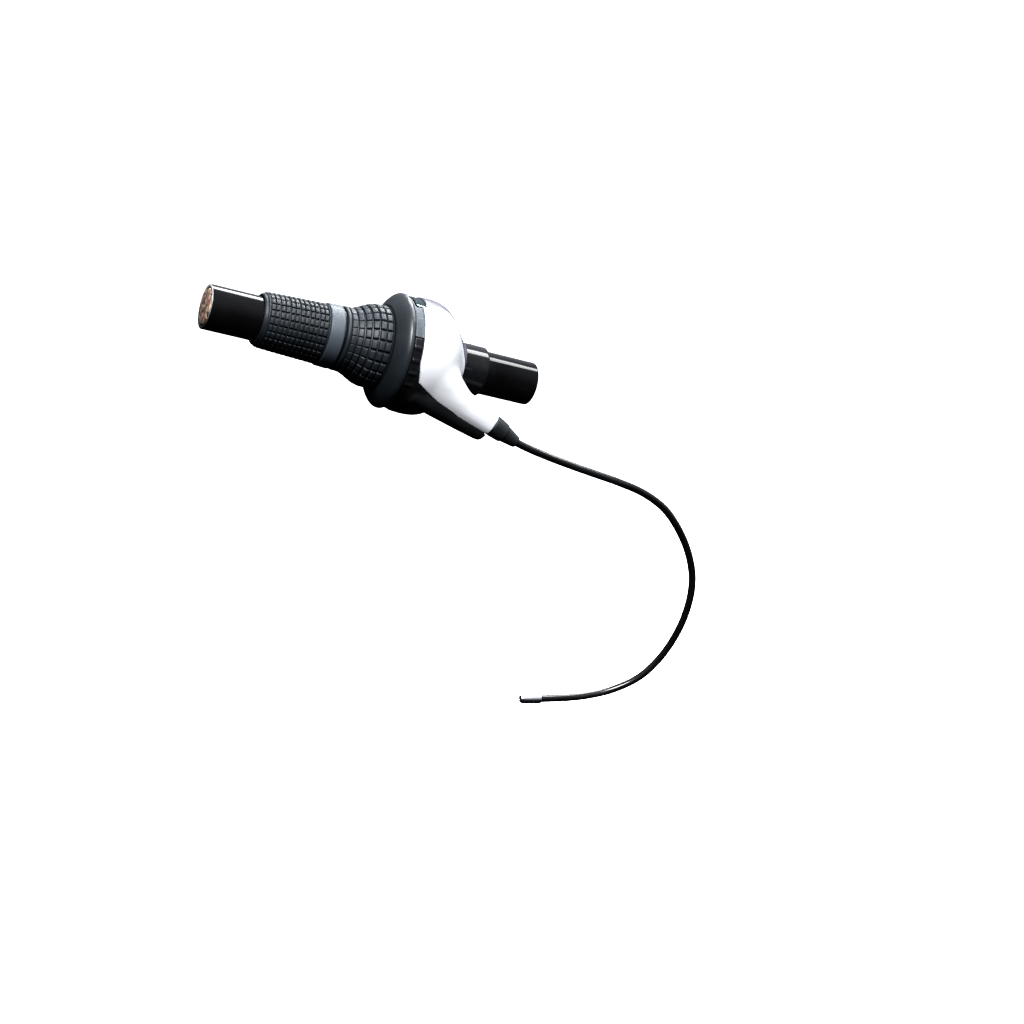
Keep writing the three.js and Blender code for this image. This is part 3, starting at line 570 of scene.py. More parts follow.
def finish_with(name, base, dust_and_sheen_colour, dust_and_sheen, roughness, grain_size=0.4, grain_depth=0.02,
                scratches=0.0, metallic=0.0, ior=1.5, upward=0.7, extra=None, bare=None,
                polish=None):
    """A material: a drifting base tone, scratches and a moulded grain. Dust and a painted sheen are
    weighted onto what faces up.
    """
    material = bpy.data.materials.new(name)
    material.use_nodes = True
    tree = material.node_tree
    surface = tree.nodes["Principled BSDF"]
    surface.inputs["Metallic"].default_value = metallic
    surface.inputs["IOR"].default_value = ior
    colour = varied(tree, rgb(*base[0]), rgb(*base[1]))
    if extra:
        colour = extra(tree, colour)
    # Dust and a painted sheen on what faces up lighten the colour.
    dust_and_sheen_mask = effect(tree, DUST_AND_SHEEN, Amount=dust_and_sheen, Upward=upward)
    colour = blended(tree, dust_and_sheen_mask, colour, rgb(*dust_and_sheen_colour))
    rough = ranged(tree, dust_and_sheen_mask, 0.0, 1.0, roughness[0], roughness[1])
    if polish:
        rough = polish(tree, rough)
    height = effect(tree, GRAIN, Size=grain_size)
    if scratches:
        lines = effect(tree, SCRATCHES, Amount=scratches)
        colour = blended(tree, lines, colour, rgb(*(bare or dust_and_sheen_colour)))
        rough = added(tree, lines, 0.25, rough)
        height = added(tree, lines, -0.5, height)
    bump = add(tree, "Bump", {"Height": height, "Strength": 0.6, "Distance": grain_depth * MM})
    tree.links.new(colour, surface.inputs["Base Color"])
    tree.links.new(rough, surface.inputs["Roughness"])
    tree.links.new(bump.outputs[0], surface.inputs["Normal"])
    return material


def between(tree, low, high, edge=0.4):
    """A mask that is one between two stations along the bar."""
    here = place_on(tree)
    along_bar = add(tree, "SeparateXYZ", {0: here}).outputs["X"]
    after = ranged(tree, along_bar, at(low - edge / 2), at(low + edge / 2))
    before = ranged(tree, along_bar, at(high - edge / 2), at(high + edge / 2), 1.0, 0.0)
    return sum_of(tree, "MULTIPLY", after, before)


def paler_band_rubber(tree, colour):
    """The fixed grip's plain band and, a little, the twist grip are paler than the blocks."""
    band = between(tree, 59, FIXED_END)
    turning = sum_of(tree, "MULTIPLY", between(tree, TWIST_START, TWIST_END), 0.1)
    return blended(tree, sum_of(tree, "MAXIMUM", band, turning), colour, rgb(0.048, 0.056, 0.067))


def bare_mouth_and_highlight(tree, colour):
    """Bare metal at the tube's open mouth where the paint is gone, made brighter towards its top as
    a painted highlight.
    """
    height = add(tree, "SeparateXYZ", {0: place_on(tree)}).outputs["Z"]
    mouth = between(tree, -2, 0.25, 0.2)
    # Painted highlight: the bare grey grows stronger towards the top of the mouth.
    bare_and_highlight = sum_of(tree, "MULTIPLY", mouth, ranged(tree, height, -0.008, 0.006, 0.08, 1.0))
    return blended(tree, bare_and_highlight, colour, rgb(0.40, 0.40, 0.41))


def polished_collar(tree, rough):
    """The clamp collar is smoother than the rest of the black moulding."""
    smooth_part = between(tree, 134, COLLAR_END + 1)
    return sum_of(tree, "MULTIPLY", rough, ranged(tree, smooth_part, 0.0, 1.0, 1.0, 0.35))


def granules(tree, colour):
    """Coarse ground granules in tan, beige, brown and olive."""
    here = place_on(tree)
    cells = add(tree, "TexVoronoi", {"Vector": here, "Scale": 520.0, "Randomness": 1.0})
    tone = add(tree, "SeparateColor", {0: cells.outputs["Color"]}).outputs[0]
    ramp = add(tree, "ValToRGB", {0: tone})
    stops = ramp.color_ramp
    stops.interpolation = "CONSTANT"
    tones = [(0.0, (0.26, 0.17, 0.12)), (0.22, (0.11, 0.06, 0.045)), (0.42, (0.42, 0.33, 0.26)),
             (0.58, (0.24, 0.10, 0.09)), (0.74, (0.14, 0.14, 0.09)), (0.84, (0.012, 0.012, 0.008))]
    stops.elements[0].color = rgb(*tones[0][1])
    stops.elements[1].position, stops.elements[1].color = tones[1][0], rgb(*tones[1][1])
    for position, shade in tones[2:]:
        stops.elements.new(position).color = rgb(*shade)
    return blended(tree, 0.95, colour, ramp.outputs["Color"])


def smoked_window():
    material = finish_with(
        "smoked_window", ((0.018, 0.038, 0.045), (0.028, 0.050, 0.058)), (0.3, 0.31, 0.31),
        0.1, (0.04, 0.25), grain_size=2.0, grain_depth=0.002, scratches=0.4,
    )
    surface = material.node_tree.nodes["Principled BSDF"]
    surface.inputs["Transmission Weight"].default_value = 0.5
    surface.inputs["IOR"].default_value = 1.2
    return material


def crest_shade_masks(tree):
    """Two masks for painted shade: one behind the line along the cover's crest, and one on the line
    itself.
    """
    where = add(tree, "SeparateXYZ", {0: place_on(tree)})
    at_origin = CREST_LINE_DEPTH * MM - CREST_LINE_SLANT * at(BAND_END)
    slanted = added(tree, where.outputs["X"], CREST_LINE_SLANT, at_origin)
    depth = sum_of(tree, "ADD", where.outputs["Y"], slanted)
    beside = add(tree, "Math", {0: depth}, operation="ABSOLUTE").outputs[0]
    return ranged(tree, depth, -0.0002, 0.0002), ranged(tree, beside, 0.0002, 0.0005, 1.0, 0.0)


def dull_band(tree, rough):
    """The band beside the flange is duller than the silver."""
    band = between(tree, HOUSING_START - 1, BAND_END + 0.1)
    return sum_of(tree, "MAXIMUM", rough, ranged(tree, band, 0.0, 1.0, 0.0, 0.6))


def silver_flakes_and_crest_shade(tree, colour):
    """Metal flake in the silver, painted shade behind the crest's line and on it, and the grey
    band.
    """
    flakes = add(tree, "TexVoronoi", {"Vector": place_on(tree), "Scale": 5200.0})
    tone = add(tree, "SeparateColor", {0: flakes.outputs["Color"]}).outputs[0]
    silver_tone = blended(tree, ranged(tree, tone, 0.6, 1.0, 0.0, 0.35), colour, rgb(0.70, 0.71, 0.74))
    behind, crest_line_shade = crest_shade_masks(tree)
    # Painted shade: the silver turns dark behind the crest's line, and darker still on the line.
    silver_tone = blended(tree, behind, silver_tone, rgb(0.085, 0.085, 0.105))
    silver_tone = blended(tree, crest_line_shade, silver_tone, rgb(0.03, 0.03, 0.04))
    band = between(tree, HOUSING_START - 1, BAND_END + 0.1)
    return blended(tree, band, silver_tone, rgb(0.034, 0.041, 0.050))


MATERIALS = {
    "bar_black": finish_with(
        "gloss_black_paint", ((0.003, 0.003, 0.0034), (0.006, 0.006, 0.0068)),
        (0.12, 0.12, 0.12), 0.04, (0.1, 0.45), grain_size=3.0, grain_depth=0.008,
        scratches=0.2, ior=1.22,
        bare=(0.05, 0.05, 0.05), extra=bare_mouth_and_highlight),
    "plug_composite": finish_with(
        "ground_granules", ((0.24, 0.17, 0.12), (0.3, 0.22, 0.16)), (0.45, 0.42, 0.36),
        0.05, (0.85, 0.95), grain_size=1.1, grain_depth=0.25, extra=granules),
    "grip_rubber": finish_with(
        "worn_rubber", ((0.009, 0.0115, 0.014), (0.016, 0.020, 0.024)), (0.11, 0.12, 0.13),
        0.12, (0.5, 0.8), grain_size=0.35, grain_depth=0.03, scratches=0.12, ior=1.36,
        extra=paler_band_rubber),
    "dark_plastic": finish_with(
        "black_moulding", ((0.005, 0.0053, 0.006), (0.010, 0.0105, 0.012)),
        (0.15, 0.15, 0.15), 0.06, (0.34, 0.6), grain_size=0.3, grain_depth=0.015,
        scratches=0.25, ior=1.26,
        bare=(0.1, 0.1, 0.1), polish=polished_collar),
    "flange": finish_with(
        "satin_flange", ((0.012, 0.015, 0.018), (0.018, 0.022, 0.026)), (0.12, 0.13, 0.14),
        0.10, (0.4, 0.65), grain_size=0.25, grain_depth=0.012, scratches=0.25, ior=1.42,
        bare=(0.1, 0.105, 0.11)),
    "inner_plastic": finish_with(
        "pale_moulding", ((0.62, 0.62, 0.58), (0.74, 0.74, 0.70)), (0.3, 0.27, 0.22),
        0.25, (0.4, 0.7), grain_size=0.5, grain_depth=0.01, scratches=0.2),
    "cover_silver": finish_with(
        "silver_cover", ((0.60, 0.61, 0.64), (0.66, 0.67, 0.70)), (0.42, 0.42, 0.44),
        0.14, (0.25, 0.5), grain_size=0.5, grain_depth=0.005, scratches=0.35, metallic=0.3,
        upward=0.2, extra=silver_flakes_and_crest_shade, bare=(0.5, 0.51, 0.54), polish=dull_band),
    "window_clear": smoked_window(),
    "needle_orange": finish_with(
        "orange_needle", ((0.72, 0.14, 0.02), (0.8, 0.2, 0.04)), (0.4, 0.3, 0.25),
        0.15, (0.4, 0.6), grain_size=0.5, grain_depth=0.01),
    "steel": finish_with(
        "turned_steel", ((0.50, 0.51, 0.53), (0.60, 0.61, 0.63)), (0.16, 0.12, 0.09),
        0.35, (0.24, 0.7), grain_size=0.6, grain_depth=0.01, scratches=0.5, metallic=1.0),
    "black_steel": finish_with(
        "blackened_steel", ((0.03, 0.03, 0.033), (0.06, 0.06, 0.065)), (0.2, 0.16, 0.12),
        0.3, (0.3, 0.7), grain_size=0.6, grain_depth=0.01, scratches=0.5, metallic=0.8,
        bare=(0.45, 0.45, 0.46)),
    "brass": finish_with(
        "brass", ((0.56, 0.40, 0.16), (0.66, 0.48, 0.2)), (0.2, 0.14, 0.08),
        0.3, (0.25, 0.6), grain_size=0.6, grain_depth=0.01, scratches=0.4, metallic=1.0),
    "casing_black": finish_with(
        "casing_jacket", ((0.004, 0.004, 0.0045), (0.008, 0.008, 0.009)),
        (0.13, 0.13, 0.12), 0.09, (0.2, 0.5), grain_size=1.2, grain_depth=0.012,
        scratches=0.25, ior=1.45,
        bare=(0.07, 0.07, 0.07)),
    "boot_rubber": finish_with(
        "boot_rubber", ((0.008, 0.010, 0.011), (0.014, 0.017, 0.018)), (0.16, 0.17, 0.17),
        0.14, (0.45, 0.75), grain_size=0.4, grain_depth=0.02, scratches=0.1, ior=1.45),
    "print": finish_with(
        "printed_numbers", ((0.02, 0.02, 0.022), (0.04, 0.04, 0.045)), (0.3, 0.3, 0.3),
        0.1, (0.5, 0.7), grain_size=0.3, grain_depth=0.002),
}


cable_casing()


# The bar end and its plug.

def bar_end():
    bore = BAR_RADIUS - BAR_WALL
    profile = softened([
        (0, bore), (0, BAR_RADIUS), (BAR_LENGTH, BAR_RADIUS), (BAR_LENGTH, bore),
    ], 0.5, closed=True)
    tube = ring("bar_tube", profile, sides=128)
    finished(tube, FIXED, "bar_black", "handlebar_tube")
    plug = turned("end_plug", softened([
        (15, 8), (15, 8.5), (13.8, 9.2), (0, 9.2), (-0.25, 8.7), (-0.4, 7), (-0.4, 0.5),
    ], 0.3), sides=64)
    finished(plug, FIXED, "plug_composite", "bar_end_plug")


bar_end()


# The two grips, the washer between them and the tube under the twist grip.

def pad_block(name, length, width, height):
    """One raised rubber block, narrower at its top, with rounded edges."""
    rest()
    bpy.ops.mesh.primitive_cube_add(size=1, location=(0, 0, height / 2 * MM))
    block = named(name)
    block.scale = (length * MM, width * MM, height * MM)
    settle(block)
    bpy.ops.object.mode_set(mode="EDIT")
    bpy.ops.mesh.select_mode(type="FACE")
    bpy.ops.mesh.select_all(action="DESELECT")
    bpy.ops.object.mode_set(mode="OBJECT")
    block.data.polygons[5].select = True
    bpy.ops.object.mode_set(mode="EDIT")
    bpy.ops.transform.resize(value=(0.78, 0.82, 1), center_override=(0, 0, height * MM))
    bpy.ops.object.mode_set(mode="OBJECT")
    return rounded(block, 0.3, 3, 20)


def tread(name, block, columns):
    """Copies a block along the sleeve, then spins that row round the bar."""
    row = []
    half_row = Matrix.Rotation(math.radians(180 / GRIP_ROWS), 4, "X")
    for station, radius, slope in columns:
        copy = cloned(block, name)
        tilt = Matrix.Rotation(-slope, 4, "Y")
        row.append(place(copy, half_row @ Matrix.Translation((at(station), 0, radius * MM)) @ tilt))
    bpy.data.objects.remove(block)
    piece = joined(name, *row)
    edit()
    bpy.ops.mesh.spin(
        steps=GRIP_ROWS - 1, dupli=True, angle=2 * math.pi * (GRIP_ROWS - 1) / GRIP_ROWS,
        center=(0, 0, 0), axis=(1, 0, 0),
    )
    bpy.ops.object.mode_set(mode="OBJECT")
    return piece


def sleeve(name, profile, block, field, pitch, columns, top_radius, height, pairing=0.0):
    body = ring(name, profile)
    places = []
    for column in range(columns):
        share = (column + 0.5) / columns
        rise = top_radius(share + 0.4 / columns) - top_radius(share - 0.4 / columns)
        slope = math.atan2(rise, 0.8 * pitch)
        nudge = pairing if column % 2 == 0 else -pairing
        station = field + (column + 0.5) * pitch + nudge
        places.append((station, top_radius(share) - height - BLOCK_SINK, slope))
    return smooth(joined(name, tread(name + "_tread", block, places), body))


def fixed_top(share):
    return FIXED_RADIUS + FIXED_SWELL * max(share, 0) ** 0.85


def twist_top(share):
    eased = min(max((share - 0.05) / 0.7, 0), 1)
    return NECK_RADIUS + 4.5 * eased * eased * (3 - 2 * eased) + 0.6 * share ** 3


def fixed_grip():
    field_end = FIXED_FIELD + FIXED_COLUMNS * FIXED_PITCH
    root = [(FIXED_FIELD + share * FIXED_COLUMNS * FIXED_PITCH, fixed_top(share) - FIXED_HEIGHT)
            for share in [i / 12 for i in range(13)]]
    profile = [
        (FIXED_START, TUBE_BORE), (FIXED_START, 12.3), (FIXED_START + 0.5, 12.8),
        (FIXED_FIELD - 1.0, 12.95), (FIXED_FIELD - 0.75, 13.6), (FIXED_FIELD - 0.2, 13.7),
        (FIXED_FIELD - 0.05, 13.2), *root[1:-1], (field_end - 0.1, 14.3),
        (field_end + 0.15, 15.1), (field_end + 0.45, 15.1), (field_end + 0.6, 14.3),
        (field_end + 0.8, 14.3), (field_end + 0.95, 15.6), (field_end + 1.4, 15.75),
        (FIXED_END - 1.0, BAND_RADIUS), (FIXED_END - 0.4, 15.98), (FIXED_END, 15.5),
        (FIXED_END, TUBE_BORE),
    ]
    block = pad_block("fixed_block", 2.2, 3.3, FIXED_HEIGHT + BLOCK_SINK)
    grip = sleeve("fixed_grip", softened(profile, 0.25, closed=True), block,
                  FIXED_FIELD, FIXED_PITCH, FIXED_COLUMNS, fixed_top, FIXED_HEIGHT, pairing=0.1)
    finished(grip, FIXED, "grip_rubber", "fixed_grip_sleeve")


def spacer_washer():
    start, end = 66.96, 67.46
    profile = [(start, TUBE_BORE), (start, 15), (end, 15), (end, TUBE_BORE)]
    washer = ring("spacer_washer", softened(profile, 0.15, closed=True))
    finished(washer, FIXED, "dark_plastic", "grip_spacer_washer")


def twist_grip():
    run = TWIST_COLUMNS * TWIST_PITCH
    root = [(TWIST_FIELD + i / 18 * run, twist_top(i / 18) - TWIST_HEIGHT) for i in range(19)]
    profile = [
        (TWIST_START, 13.8), (TWIST_START, 15.6), (TWIST_START + 0.5, 16.15),
        (TWIST_FIELD - 0.5, 16.2), (TWIST_FIELD - 0.1, 15.3), *root[1:-1],
        (TWIST_FIELD + run - 0.05, 20.1), (TWIST_END - 0.3, 21.2), (TWIST_END, 21.0),
        (TWIST_END, 13.8),
    ]
    block = pad_block("twist_block", 3.16, 4.7, TWIST_HEIGHT + BLOCK_SINK)
    grip = sleeve("twist_grip", softened(profile, 0.2, closed=True), block,
                  TWIST_FIELD, TWIST_PITCH, TWIST_COLUMNS, twist_top, TWIST_HEIGHT)
    finished(grip, TURNING, "grip_rubber", "twist_grip_rubber")


def twist_tube():
    foot = 22.2
    flare = [(FLANGE_START + 5.9 * share, foot + (FLANGE_RADIUS - foot) * (1 - (1 - share) ** 1.8))
             for share in [i / 12 for i in range(13)]]
    profile = [
        (68.06, TUBE_BORE), (68.06, TUBE_RADIUS), (FLANGE_START, TUBE_RADIUS),
        (FLANGE_START, foot - 0.3), *flare, (97.25, FLANGE_RADIUS), (97.6, 29.35),
        (FLANGE_BACK, 29.1), (FLANGE_BACK, 27.6), (97.5, 27.4), (94.76, 25.6), (94.76, 21.4),
        (FLANGE_BACK, 19.4), (FLANGE_BACK, 14.6),
        (110.56, 14.6), (110.56, TUBE_BORE),
    ]
    tube = ring("twist_tube", softened(profile, 0.15, closed=True), sides=128)
    inner, reach, half = 13, 15.8, 1.5
    for side in (-1, 1):
        key = bar_shape("hub_key", (98.06, min(side * inner, side * reach), -half),
                        (110.56, max(side * inner, side * reach), half))
        combine(tube, "UNION", key)
    finished(smooth(tube), TURNING, "dark_plastic", "twist_grip_tube", finish="flange")


fixed_grip()
spacer_washer()
twist_grip()
twist_tube()


# The shifter housing: its flowing form, then the cover and the base cut from it.

def rounded_square(name, centre, size, corner=0.88):
    """A square with rounded corners, across the nose's line."""
    rest()
    bpy.ops.mesh.primitive_plane_add(size=2 * size * MM)
    piece = named(name)
    edit()
    bpy.ops.mesh.bevel(offset=corner * size * MM, segments=6, affect="VERTICES")
    bpy.ops.mesh.delete(type="ONLY_FACE")
    bpy.ops.object.mode_set(mode="OBJECT")
    nose_axes = Matrix((NOSE, Vector((0, 1, 0)), NOSE_UP)).transposed()
    turn = nose_axes @ Matrix.Rotation(math.pi / 2, 3, "Y")
    return place(piece, Matrix.Translation(centre) @ turn.to_4x4())


def horn(name, root, tip, root_drop, tip_drop, length):
    """A tapered tube of rounded square section along the nose, drawn out ring by ring."""
    rings = []
    for i in range(13):
        share = i / 12
        size = tip + (root - tip) * (1 - share) ** 0.75
        drop = root_drop + (tip_drop - root_drop) * share
        centre = NOSE_START + NOSE * length * share * MM - NOSE_UP * drop * MM
        centre.y += 2.2 * (1 - share) * MM
        rings.append((centre, size))
    (centre, size), *others = rings
    piece = rounded_square(name, centre, size)
    edit()
    for next_centre, next_size in others:
        draw_out(next_centre - centre)
        grow = next_size / size
        bpy.ops.transform.resize(value=(grow, grow, grow), center_override=next_centre)
        centre, size = next_centre, next_size
    return mend(piece)


def dome_radius(share):
    """The dome's radius at a share of its run, from its crown to its collar."""
    fall = (1 + math.cos(math.pi * share ** 1.7)) / 2
    return COLLAR_RADIUS + (CROWN_RADIUS - COLLAR_RADIUS) * fall


def dome(name, front):
    """The housing's turned form, from a station in front of it to its collar."""
    curve = [(CROWN + DOME_RUN * i / 24, dome_radius(i / 24)) for i in range(25)]
    shoulder = [(front, 20), (front, SHOULDER_RADIUS), (BAND_END, SHOULDER_RADIUS)]
    return turned(name, shoulder + curve)


def ball(station, angle, radius, depth):
    """A ball inside the dome, in front of the bar and lower down by an angle."""
    rest()
    turn = math.radians(angle)
    bpy.ops.mesh.primitive_uv_sphere_add(
        segments=32, ring_count=16, radius=radius * MM,
        location=(at(station), -depth * math.cos(turn) * MM, -depth * math.sin(turn) * MM),
    )
    return settle(bpy.context.object)


def drawn_tight(name, *inside):
    """A tight skin over the forms inside it."""
    skin = joined(name, *inside)
    edit()
    bpy.ops.mesh.convex_hull()
    return mend(skin)


def nose_skin():
    """The nose, drawn from balls inside the dome out to its end, and the cheek above it."""
    tip = rounded_square("nose_tip", NOSE_END + NOSE * 6 * MM, 6.1, 0.8)
    nose = drawn_tight("nose", *[ball(*inside) for inside in NOSE_BALLS], tip)
    middle = rounded_square("nose_middle", NOSE_END - (NOSE * 17 + NOSE_UP * 0.8) * MM, 6.5, 0.9)
    cheek = drawn_tight("cheek", *[ball(*inside) for inside in CHEEK_BALLS], middle)
    return nose, cheek


def housing_form():
    """Dome and nose in one flowing skin, longer at both ends than the pieces cut from it."""
    body = combine(dome("housing_form", HOUSING_START - 5), "UNION", *nose_skin())
    remade(body, 1.0, 6)
    melted(body, (at(126), -21 * MM, -5 * MM), 20, 46)
    modify(body, "SUBSURF", levels=1, render_levels=1)
    return body


def above_parting(name, grow=0.0):
    """The space above the line where the cover meets the base."""
    far = 92
    bend = Vector((DOME_END - 4.5 - grow / 2, -26 - grow))
    start = Vector((BAND_END + 2.6 - grow, -10.4 - grow))
    end = Vector((159.06, -29.6 - grow))
    curve = [start.lerp(bend, t).lerp(bend.lerp(end, t), t) for t in [i / 12 for i in range(13)]]
    outline = [(BAND_END - grow, far), (BAND_END - grow, 0), *[tuple(p) for p in curve],
               (BAND_END + far, end.y), (BAND_END + far, far)]
    return slab(name, outline, far)


def cover_space(grow=0.0):
    """The space of the cover: above the parting in front, and less far down at the rear."""
    rear = bar_shape("rear_space", (90, -12 + grow, -80), (200, 100, -6 - grow))
    return combine(above_parting("cover_space", grow), "DIFFERENCE", rear)


def screw_seat(angle):
    """Where a cover screw sits on the dome, and the direction it goes in."""
    radius = dome_radius(SCREW_RUN / DOME_RUN)
    turn = math.radians(angle)
    outward = Vector((0, math.cos(turn), math.sin(turn)))
    return Vector((at(CROWN + SCREW_RUN), 0, 0)) + outward * radius * MM, -outward


SCREW_ANGLES = {"rear": 3.75, "top": 56.25}


def screw_holes(name):
    """A stepped hole for each cover screw: wide for its head, then narrow for its shank."""
    steps = [(-4, 0.1), (-4, 2.6), (0.8, 2.6), (0.8, 1.5), (7.3, 1.5), (7.3, 0.1)]
    tools = []
    for angle in SCREW_ANGLES.values():
        seat, inward = screw_seat(angle)
        tools.append(place(turned(name, steps, 32), along(inward, seat)))
    return tools


def housing_cover(form):
    skin = cloned(form, "cover_shell")
    inside = offset(cloned(form, "cover_inside"), -COVER_WALL)
    combine(skin, "DIFFERENCE", inside)
    combine(skin, "INTERSECT", cover_space())
    trimmed(skin, NOSE_FACE, NOSE)
    band = ring("cover_band", [
        (HOUSING_START, 26.9), (HOUSING_START, 28.3), (HOUSING_START + 0.3, BAND_FRONT_RADIUS),
        (BAND_END + 1, BAND_FRONT_RADIUS), (BAND_END + 1, 26.9),
    ])
    combine(band, "INTERSECT", bar_shape("band_space", (90, -60, 11.6), (120, 60, 60)))
    combine(skin, "UNION", band)
    window = swept("window_opening", 99.46, 105.46, CAVITY_RADIUS, 32, 47, 118)
    collar = turned("collar_opening", [(CROWN, 0.5), (CROWN, 13), (170, 13), (170, 0.5)])
    combine(skin, "DIFFERENCE", window, collar, *screw_holes("screw_opening"))
    smooth(remade(skin, 0.42, 3), 50)
    finished(skin, FIXED, "cover_silver", "housing_cover")


def clamp_collar():
    """The collar with its ears. Its slit and screw hole are cut later, with the base."""
    profile = [(WALL_START, 11), (WALL_START, COLLAR_RADIUS),
               (COLLAR_END, COLLAR_RADIUS), (COLLAR_END, 11)]
    collar = turned("clamp_collar", softened(profile, 0.5))
    ears = rounded(bar_shape("clamp_ears", (138.16, 5, -8.6), (146.56, 20.6, 8.6)), 1.2, 4)
    combine(collar, "UNION", ears)
    return collar


def housing_base(form):
    body = offset(cloned(form, "base_shell"), -(COVER_WALL + SEAT_GAP))
    trimmed(body, (at(HOUSING_START + 2), 0, 0), (-1, 0, 0))
    keel = rounded(horn("keel", 7.6, 4.7, 8.8, 5.9, 44.9), 1.8, 4, 50)
    outside = offset(cloned(form, "cover_outside"), SEAT_GAP)
    fillet = combine(cloned(keel, "keel_fillet"), "DIFFERENCE", outside)
    skirt = combine(cloned(form, "base_skirt"), "UNION", keel)
    remade(skirt, 0.8, 4)
    melted(skirt, (at(114), -19 * MM, -23 * MM), 18, 20)
    combine(skirt, "DIFFERENCE", cover_space(SEAT_GAP))
    trimmed(skirt, (at(BAND_END + 0.1), 0, 0), (-1, 0, 0))
    combine(body, "UNION", skirt, fillet)
    trimmed(body, NOSE_FACE, NOSE)
    band = ring("base_band", [
        (HOUSING_START, 25), (HOUSING_START, 28.3), (HOUSING_START + 0.3, BAND_FRONT_RADIUS),
        (BAND_END - 0.1, BAND_FRONT_RADIUS), (BAND_END, 28.4), (BAND_END, 25),
    ])
    ribs = []
    for i in range(4):
        angle = 180 + (i - 1) * 13
        ribs.append(swept("band_rib", HOUSING_START + 0.5, BAND_END - 0.5, 28, 29.1,
                          angle - 1.5, angle + 1.5))
    combine(band, "UNION", *ribs)
    combine(band, "DIFFERENCE", bar_shape("band_space", (90, -60, 11.3), (120, 60, 60)))
    combine(body, "UNION", band)
    front = turned("housing_cavity", [
        (90, 0.5), (90, CAVITY_RADIUS), (WALL_START, CAVITY_RADIUS), (WALL_START, 0.5),
    ])
    slot = swept("indicator_slot", 90, 105.96, 14.6, 28.6, 44, 121)
    combine(body, "DIFFERENCE", front, slot)
    combine(body, "UNION", clamp_collar())
    bore = turned("bar_bore", [(80, 0.5), (80, 11.4), (170, 11.4), (170, 0.5)])
    slit = bar_shape("clamp_slit", (135.86, 0.5, -0.6), (160, 30, 0.6))
    screw_hole = turned("clamp_hole", [(-15, 0.1), (-15, 2.3), (15, 2.3), (15, 0.1)], 32)
    place(screw_hole, along((0, 0, 1), CLAMP_AT))
    socket = turned("casing_socket", [(-9.6, 0.1), (-9.6, 3.05), (3, 3.05), (3, 0.1)], 32)
    place(socket, along(NOSE, NOSE_END))
    combine(body, "DIFFERENCE", bore, slit, screw_hole, socket, *screw_holes("screw_bore"))
    smooth(remade(body, 0.5, 2), 50)
    finished(body, FIXED, "dark_plastic", "housing_base")


form = housing_form()
housing_cover(form)
housing_base(form)
bpy.data.objects.remove(form)


def indicator_window():
    pane = swept("indicator_pane", 99.76, 105.16, 27.4, 28.9, 47.6, 117.4)
    rounded(pane, 0.3, 3, 40)
    finished(smooth(pane), FIXED, "window_clear", "indicator_window")


def gear_numbers():
    """The numbers 1 to 7 printed on the scale, which follows the drum's turn."""
    for gear in range(7):
        rest()
        bpy.ops.object.text_add()
        number = bpy.context.object
        number.data.body = str(gear + 1)
        number.data.size = 3.2 * MM
        number.data.align_x, number.data.align_y = "CENTER", "CENTER"
        number.data.extrude = 0.02 * MM
        bpy.ops.object.convert(target="MESH")
        named("gear_number_%d" % (gear + 1))
        around = math.radians(112 - 10 * gear)
        upright = Matrix.Rotation(-math.pi / 2, 4, "Z")
        turn = Matrix.Rotation(around - math.pi / 2, 4, "X")
        lift = Matrix.Translation((at(103.4), 0, 25.78 * MM))
        mend(place(number, turn @ lift @ upright))
        finished(number, FIXED, "inner_plastic", finish="print")


indicator_window()
gear_numbers()


# Screws, nut and boot.

def cover_screws():
    head = turned("cover_screw", softened([
        (-0.7, 0.3), (-0.7, 1.7), (-0.35, 2.25), (0.5, 2.3), (0.5, 1.2), (7, 1.2), (7, 0.3),
    ], 0.15), 32)
    socket = turned("screw_socket", [(-2, 0.1), (-2, 1.05), (0.9, 1.05), (0.9, 0.1)], 6)
    combine(head, "DIFFERENCE", socket)
    for which, angle in SCREW_ANGLES.items():
        screw = cloned(head, "cover_screw_piece_" + which)
        seat, inward = screw_seat(angle)
        place(screw, along(inward, seat))
        finished(smooth(screw), FIXED, "steel", "cover_screw_" + which, finish="black_steel")
    bpy.data.objects.remove(head)


def clamp_fixings():
    screw = turned("clamp_bolt", softened([
        (-12.3, 0.4), (-12.3, 1.8), (-11.9, 2), (8.9, 2), (8.9, 3.5),
        (11.6, 3.5), (12.3, 2.9), (12.3, 0.4),
    ], 0.3), 48)
    socket = turned("bolt_socket", [(10.5, 0.1), (10.5, 1.7), (14, 1.7), (14, 0.1)], 6)
    combine(screw, "DIFFERENCE", socket)
    place(screw, along((0, 0, 1), CLAMP_AT))
    finished(smooth(screw), FIXED, "steel", "clamp_screw")
    nut = turned("clamp_hex_nut", [(-12.1, 0.5), (-12.1, 3.9), (-8.9, 3.9), (-8.9, 0.5)], 6)
    rounded(nut, 0.25, 3)
    bore = turned("nut_bore", [(-14, 0.1), (-14, 2.3), (-6, 2.3), (-6, 0.1)], 32)
    combine(nut, "DIFFERENCE", bore)
    place(nut, along((0, 0, 1), CLAMP_AT))
    finished(smooth(nut), FIXED, "steel", "clamp_nut")


def casing_boot():
    boot = ring("boot", softened([
        (-0.5, 2.3), (-0.5, 5.3), (0.1, 5.6), (1.8, 5.6), (7.9, 5.1),
        (8.5, 4.5), (16.4, 3.1), (17, 2.8), (17, 2.3),
    ], 0.5, closed=True), 64)
    place(boot, along(NOSE, NOSE_END))
    finished(boot, FIXED, "grip_rubber", "cable_boot", finish="boot_rubber")


cover_screws()
clamp_fixings()
casing_boot()


# The inner pieces keep their CAD shape and get a finish.

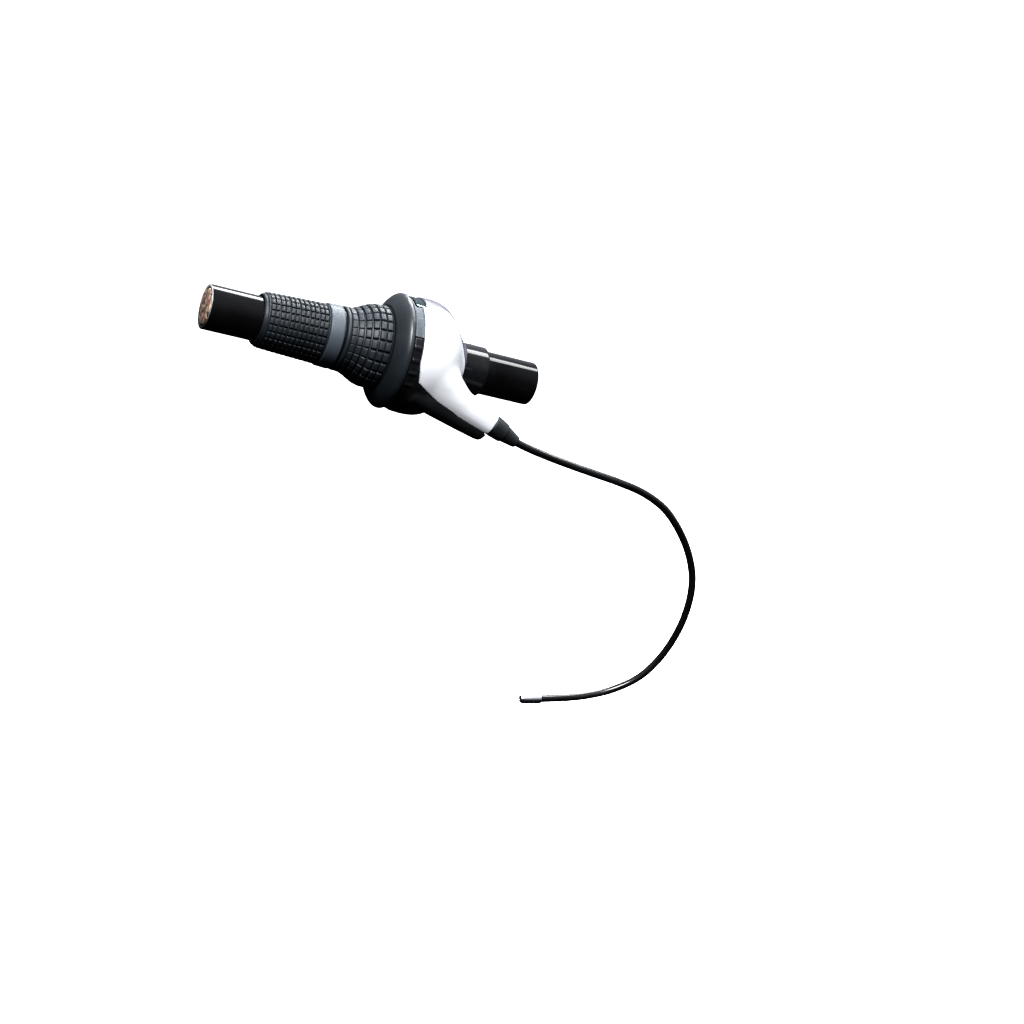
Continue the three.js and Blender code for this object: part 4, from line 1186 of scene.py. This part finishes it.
INNER = {
    "cable_drum": "inner_plastic", "hub_washer": "inner_plastic", "wire_guide": "inner_plastic",
    "indicator_scale": "inner_plastic", "detent_ring": "dark_plastic", "detent_spring": "steel",
    "shift_wire_end": "steel", "shift_wire_lead": "steel", "casing_cap_nose": "brass",
    "indicator_needle": "needle_orange",
}
for node, slot in INNER.items():
    node_object = bpy.data.objects[node]
    for place_in_slots in node_object.material_slots:
        place_in_slots.material = MATERIALS[slot]


# The studio.

FLOOR = -0.19


def studio():
    """A sheet of white paper that runs flat under the part and rises far behind it."""
    rest()
    bpy.ops.mesh.primitive_plane_add(size=1, location=(0, 0, FLOOR))
    paper_sheet = named("studio_floor")
    paper_sheet.scale = (14, 9, 1)
    settle(paper_sheet)
    backdrop = cloned(paper_sheet, "studio_backdrop")
    upright = Matrix.Translation((0, 4.5, 4.3)) @ Matrix.Rotation(math.pi / 2, 4, "X")
    place(backdrop, upright @ Matrix.Translation((0, 0, -FLOOR)))
    for sheet, glow in ((paper_sheet, 0.35), (backdrop, 0.9)):
        paper = bpy.data.materials.new(sheet.name + "_paper")
        paper.use_nodes = True
        tree = paper.node_tree
        surface = tree.nodes["Principled BSDF"]
        surface.inputs["Roughness"].default_value = 0.95
        surface.inputs["Emission Color"].default_value = rgb(1, 1, 1)
        surface.inputs["Emission Strength"].default_value = glow
        tone = varied(tree, rgb(0.9, 0.9, 0.9), rgb(0.92, 0.92, 0.92), 3.0)
        tree.links.new(tone, surface.inputs["Base Color"])
        sheet.data.materials.clear()
        sheet.data.materials.append(paper)
        sheet.visible_diffuse = False
        sheet.visible_glossy = False


def lamp(name, where, towards, size, power):
    data = bpy.data.lights.new(name, "AREA")
    data.shape = "DISK"
    data.size = size
    data.energy = power
    light = bpy.data.objects.new(name, data)
    bpy.context.scene.collection.objects.link(light)
    light.location = where
    light.rotation_euler = (Vector(towards) - Vector(where)).to_track_quat("-Z", "Y").to_euler()


def studio_air():
    """Light from all of the upper half, strongest overhead, and hardly any from below."""
    world = bpy.data.worlds.new("studio_air")
    bpy.context.scene.world = world
    world.use_nodes = True
    tree = world.node_tree
    direction = add(tree, "TexCoord").outputs["Generated"]
    height = add(tree, "SeparateXYZ", {0: direction}).outputs["Z"]
    share = ranged(tree, height, -0.15, 0.85, interpolation_type="SMOOTHSTEP")
    sky = blended(tree, share, rgb(0.012, 0.013, 0.015), rgb(0.95, 1.0, 1.06))
    seen = add(tree, "LightPath").outputs["Is Camera Ray"]
    tree.links.new(blended(tree, seen, sky, rgb(1, 1, 1)), tree.nodes["Background"].inputs["Color"])
    tree.nodes["Background"].inputs["Strength"].default_value = 1.0


studio()
studio_air()
lamp("key", (-0.46, -0.76, 0.84), (-0.06, 0, -0.03), 0.5, 33)
lamp("overhead", (0.42, 0.1, 1.0), (-0.06, 0, -0.02), 0.42, 10)
lamp("rear", (0.12, 0.56, 0.88), (-0.06, 0, -0.02), 0.42, 10)
view = bpy.context.scene.view_settings
view.view_transform = "Standard"
view.look = "High Contrast"
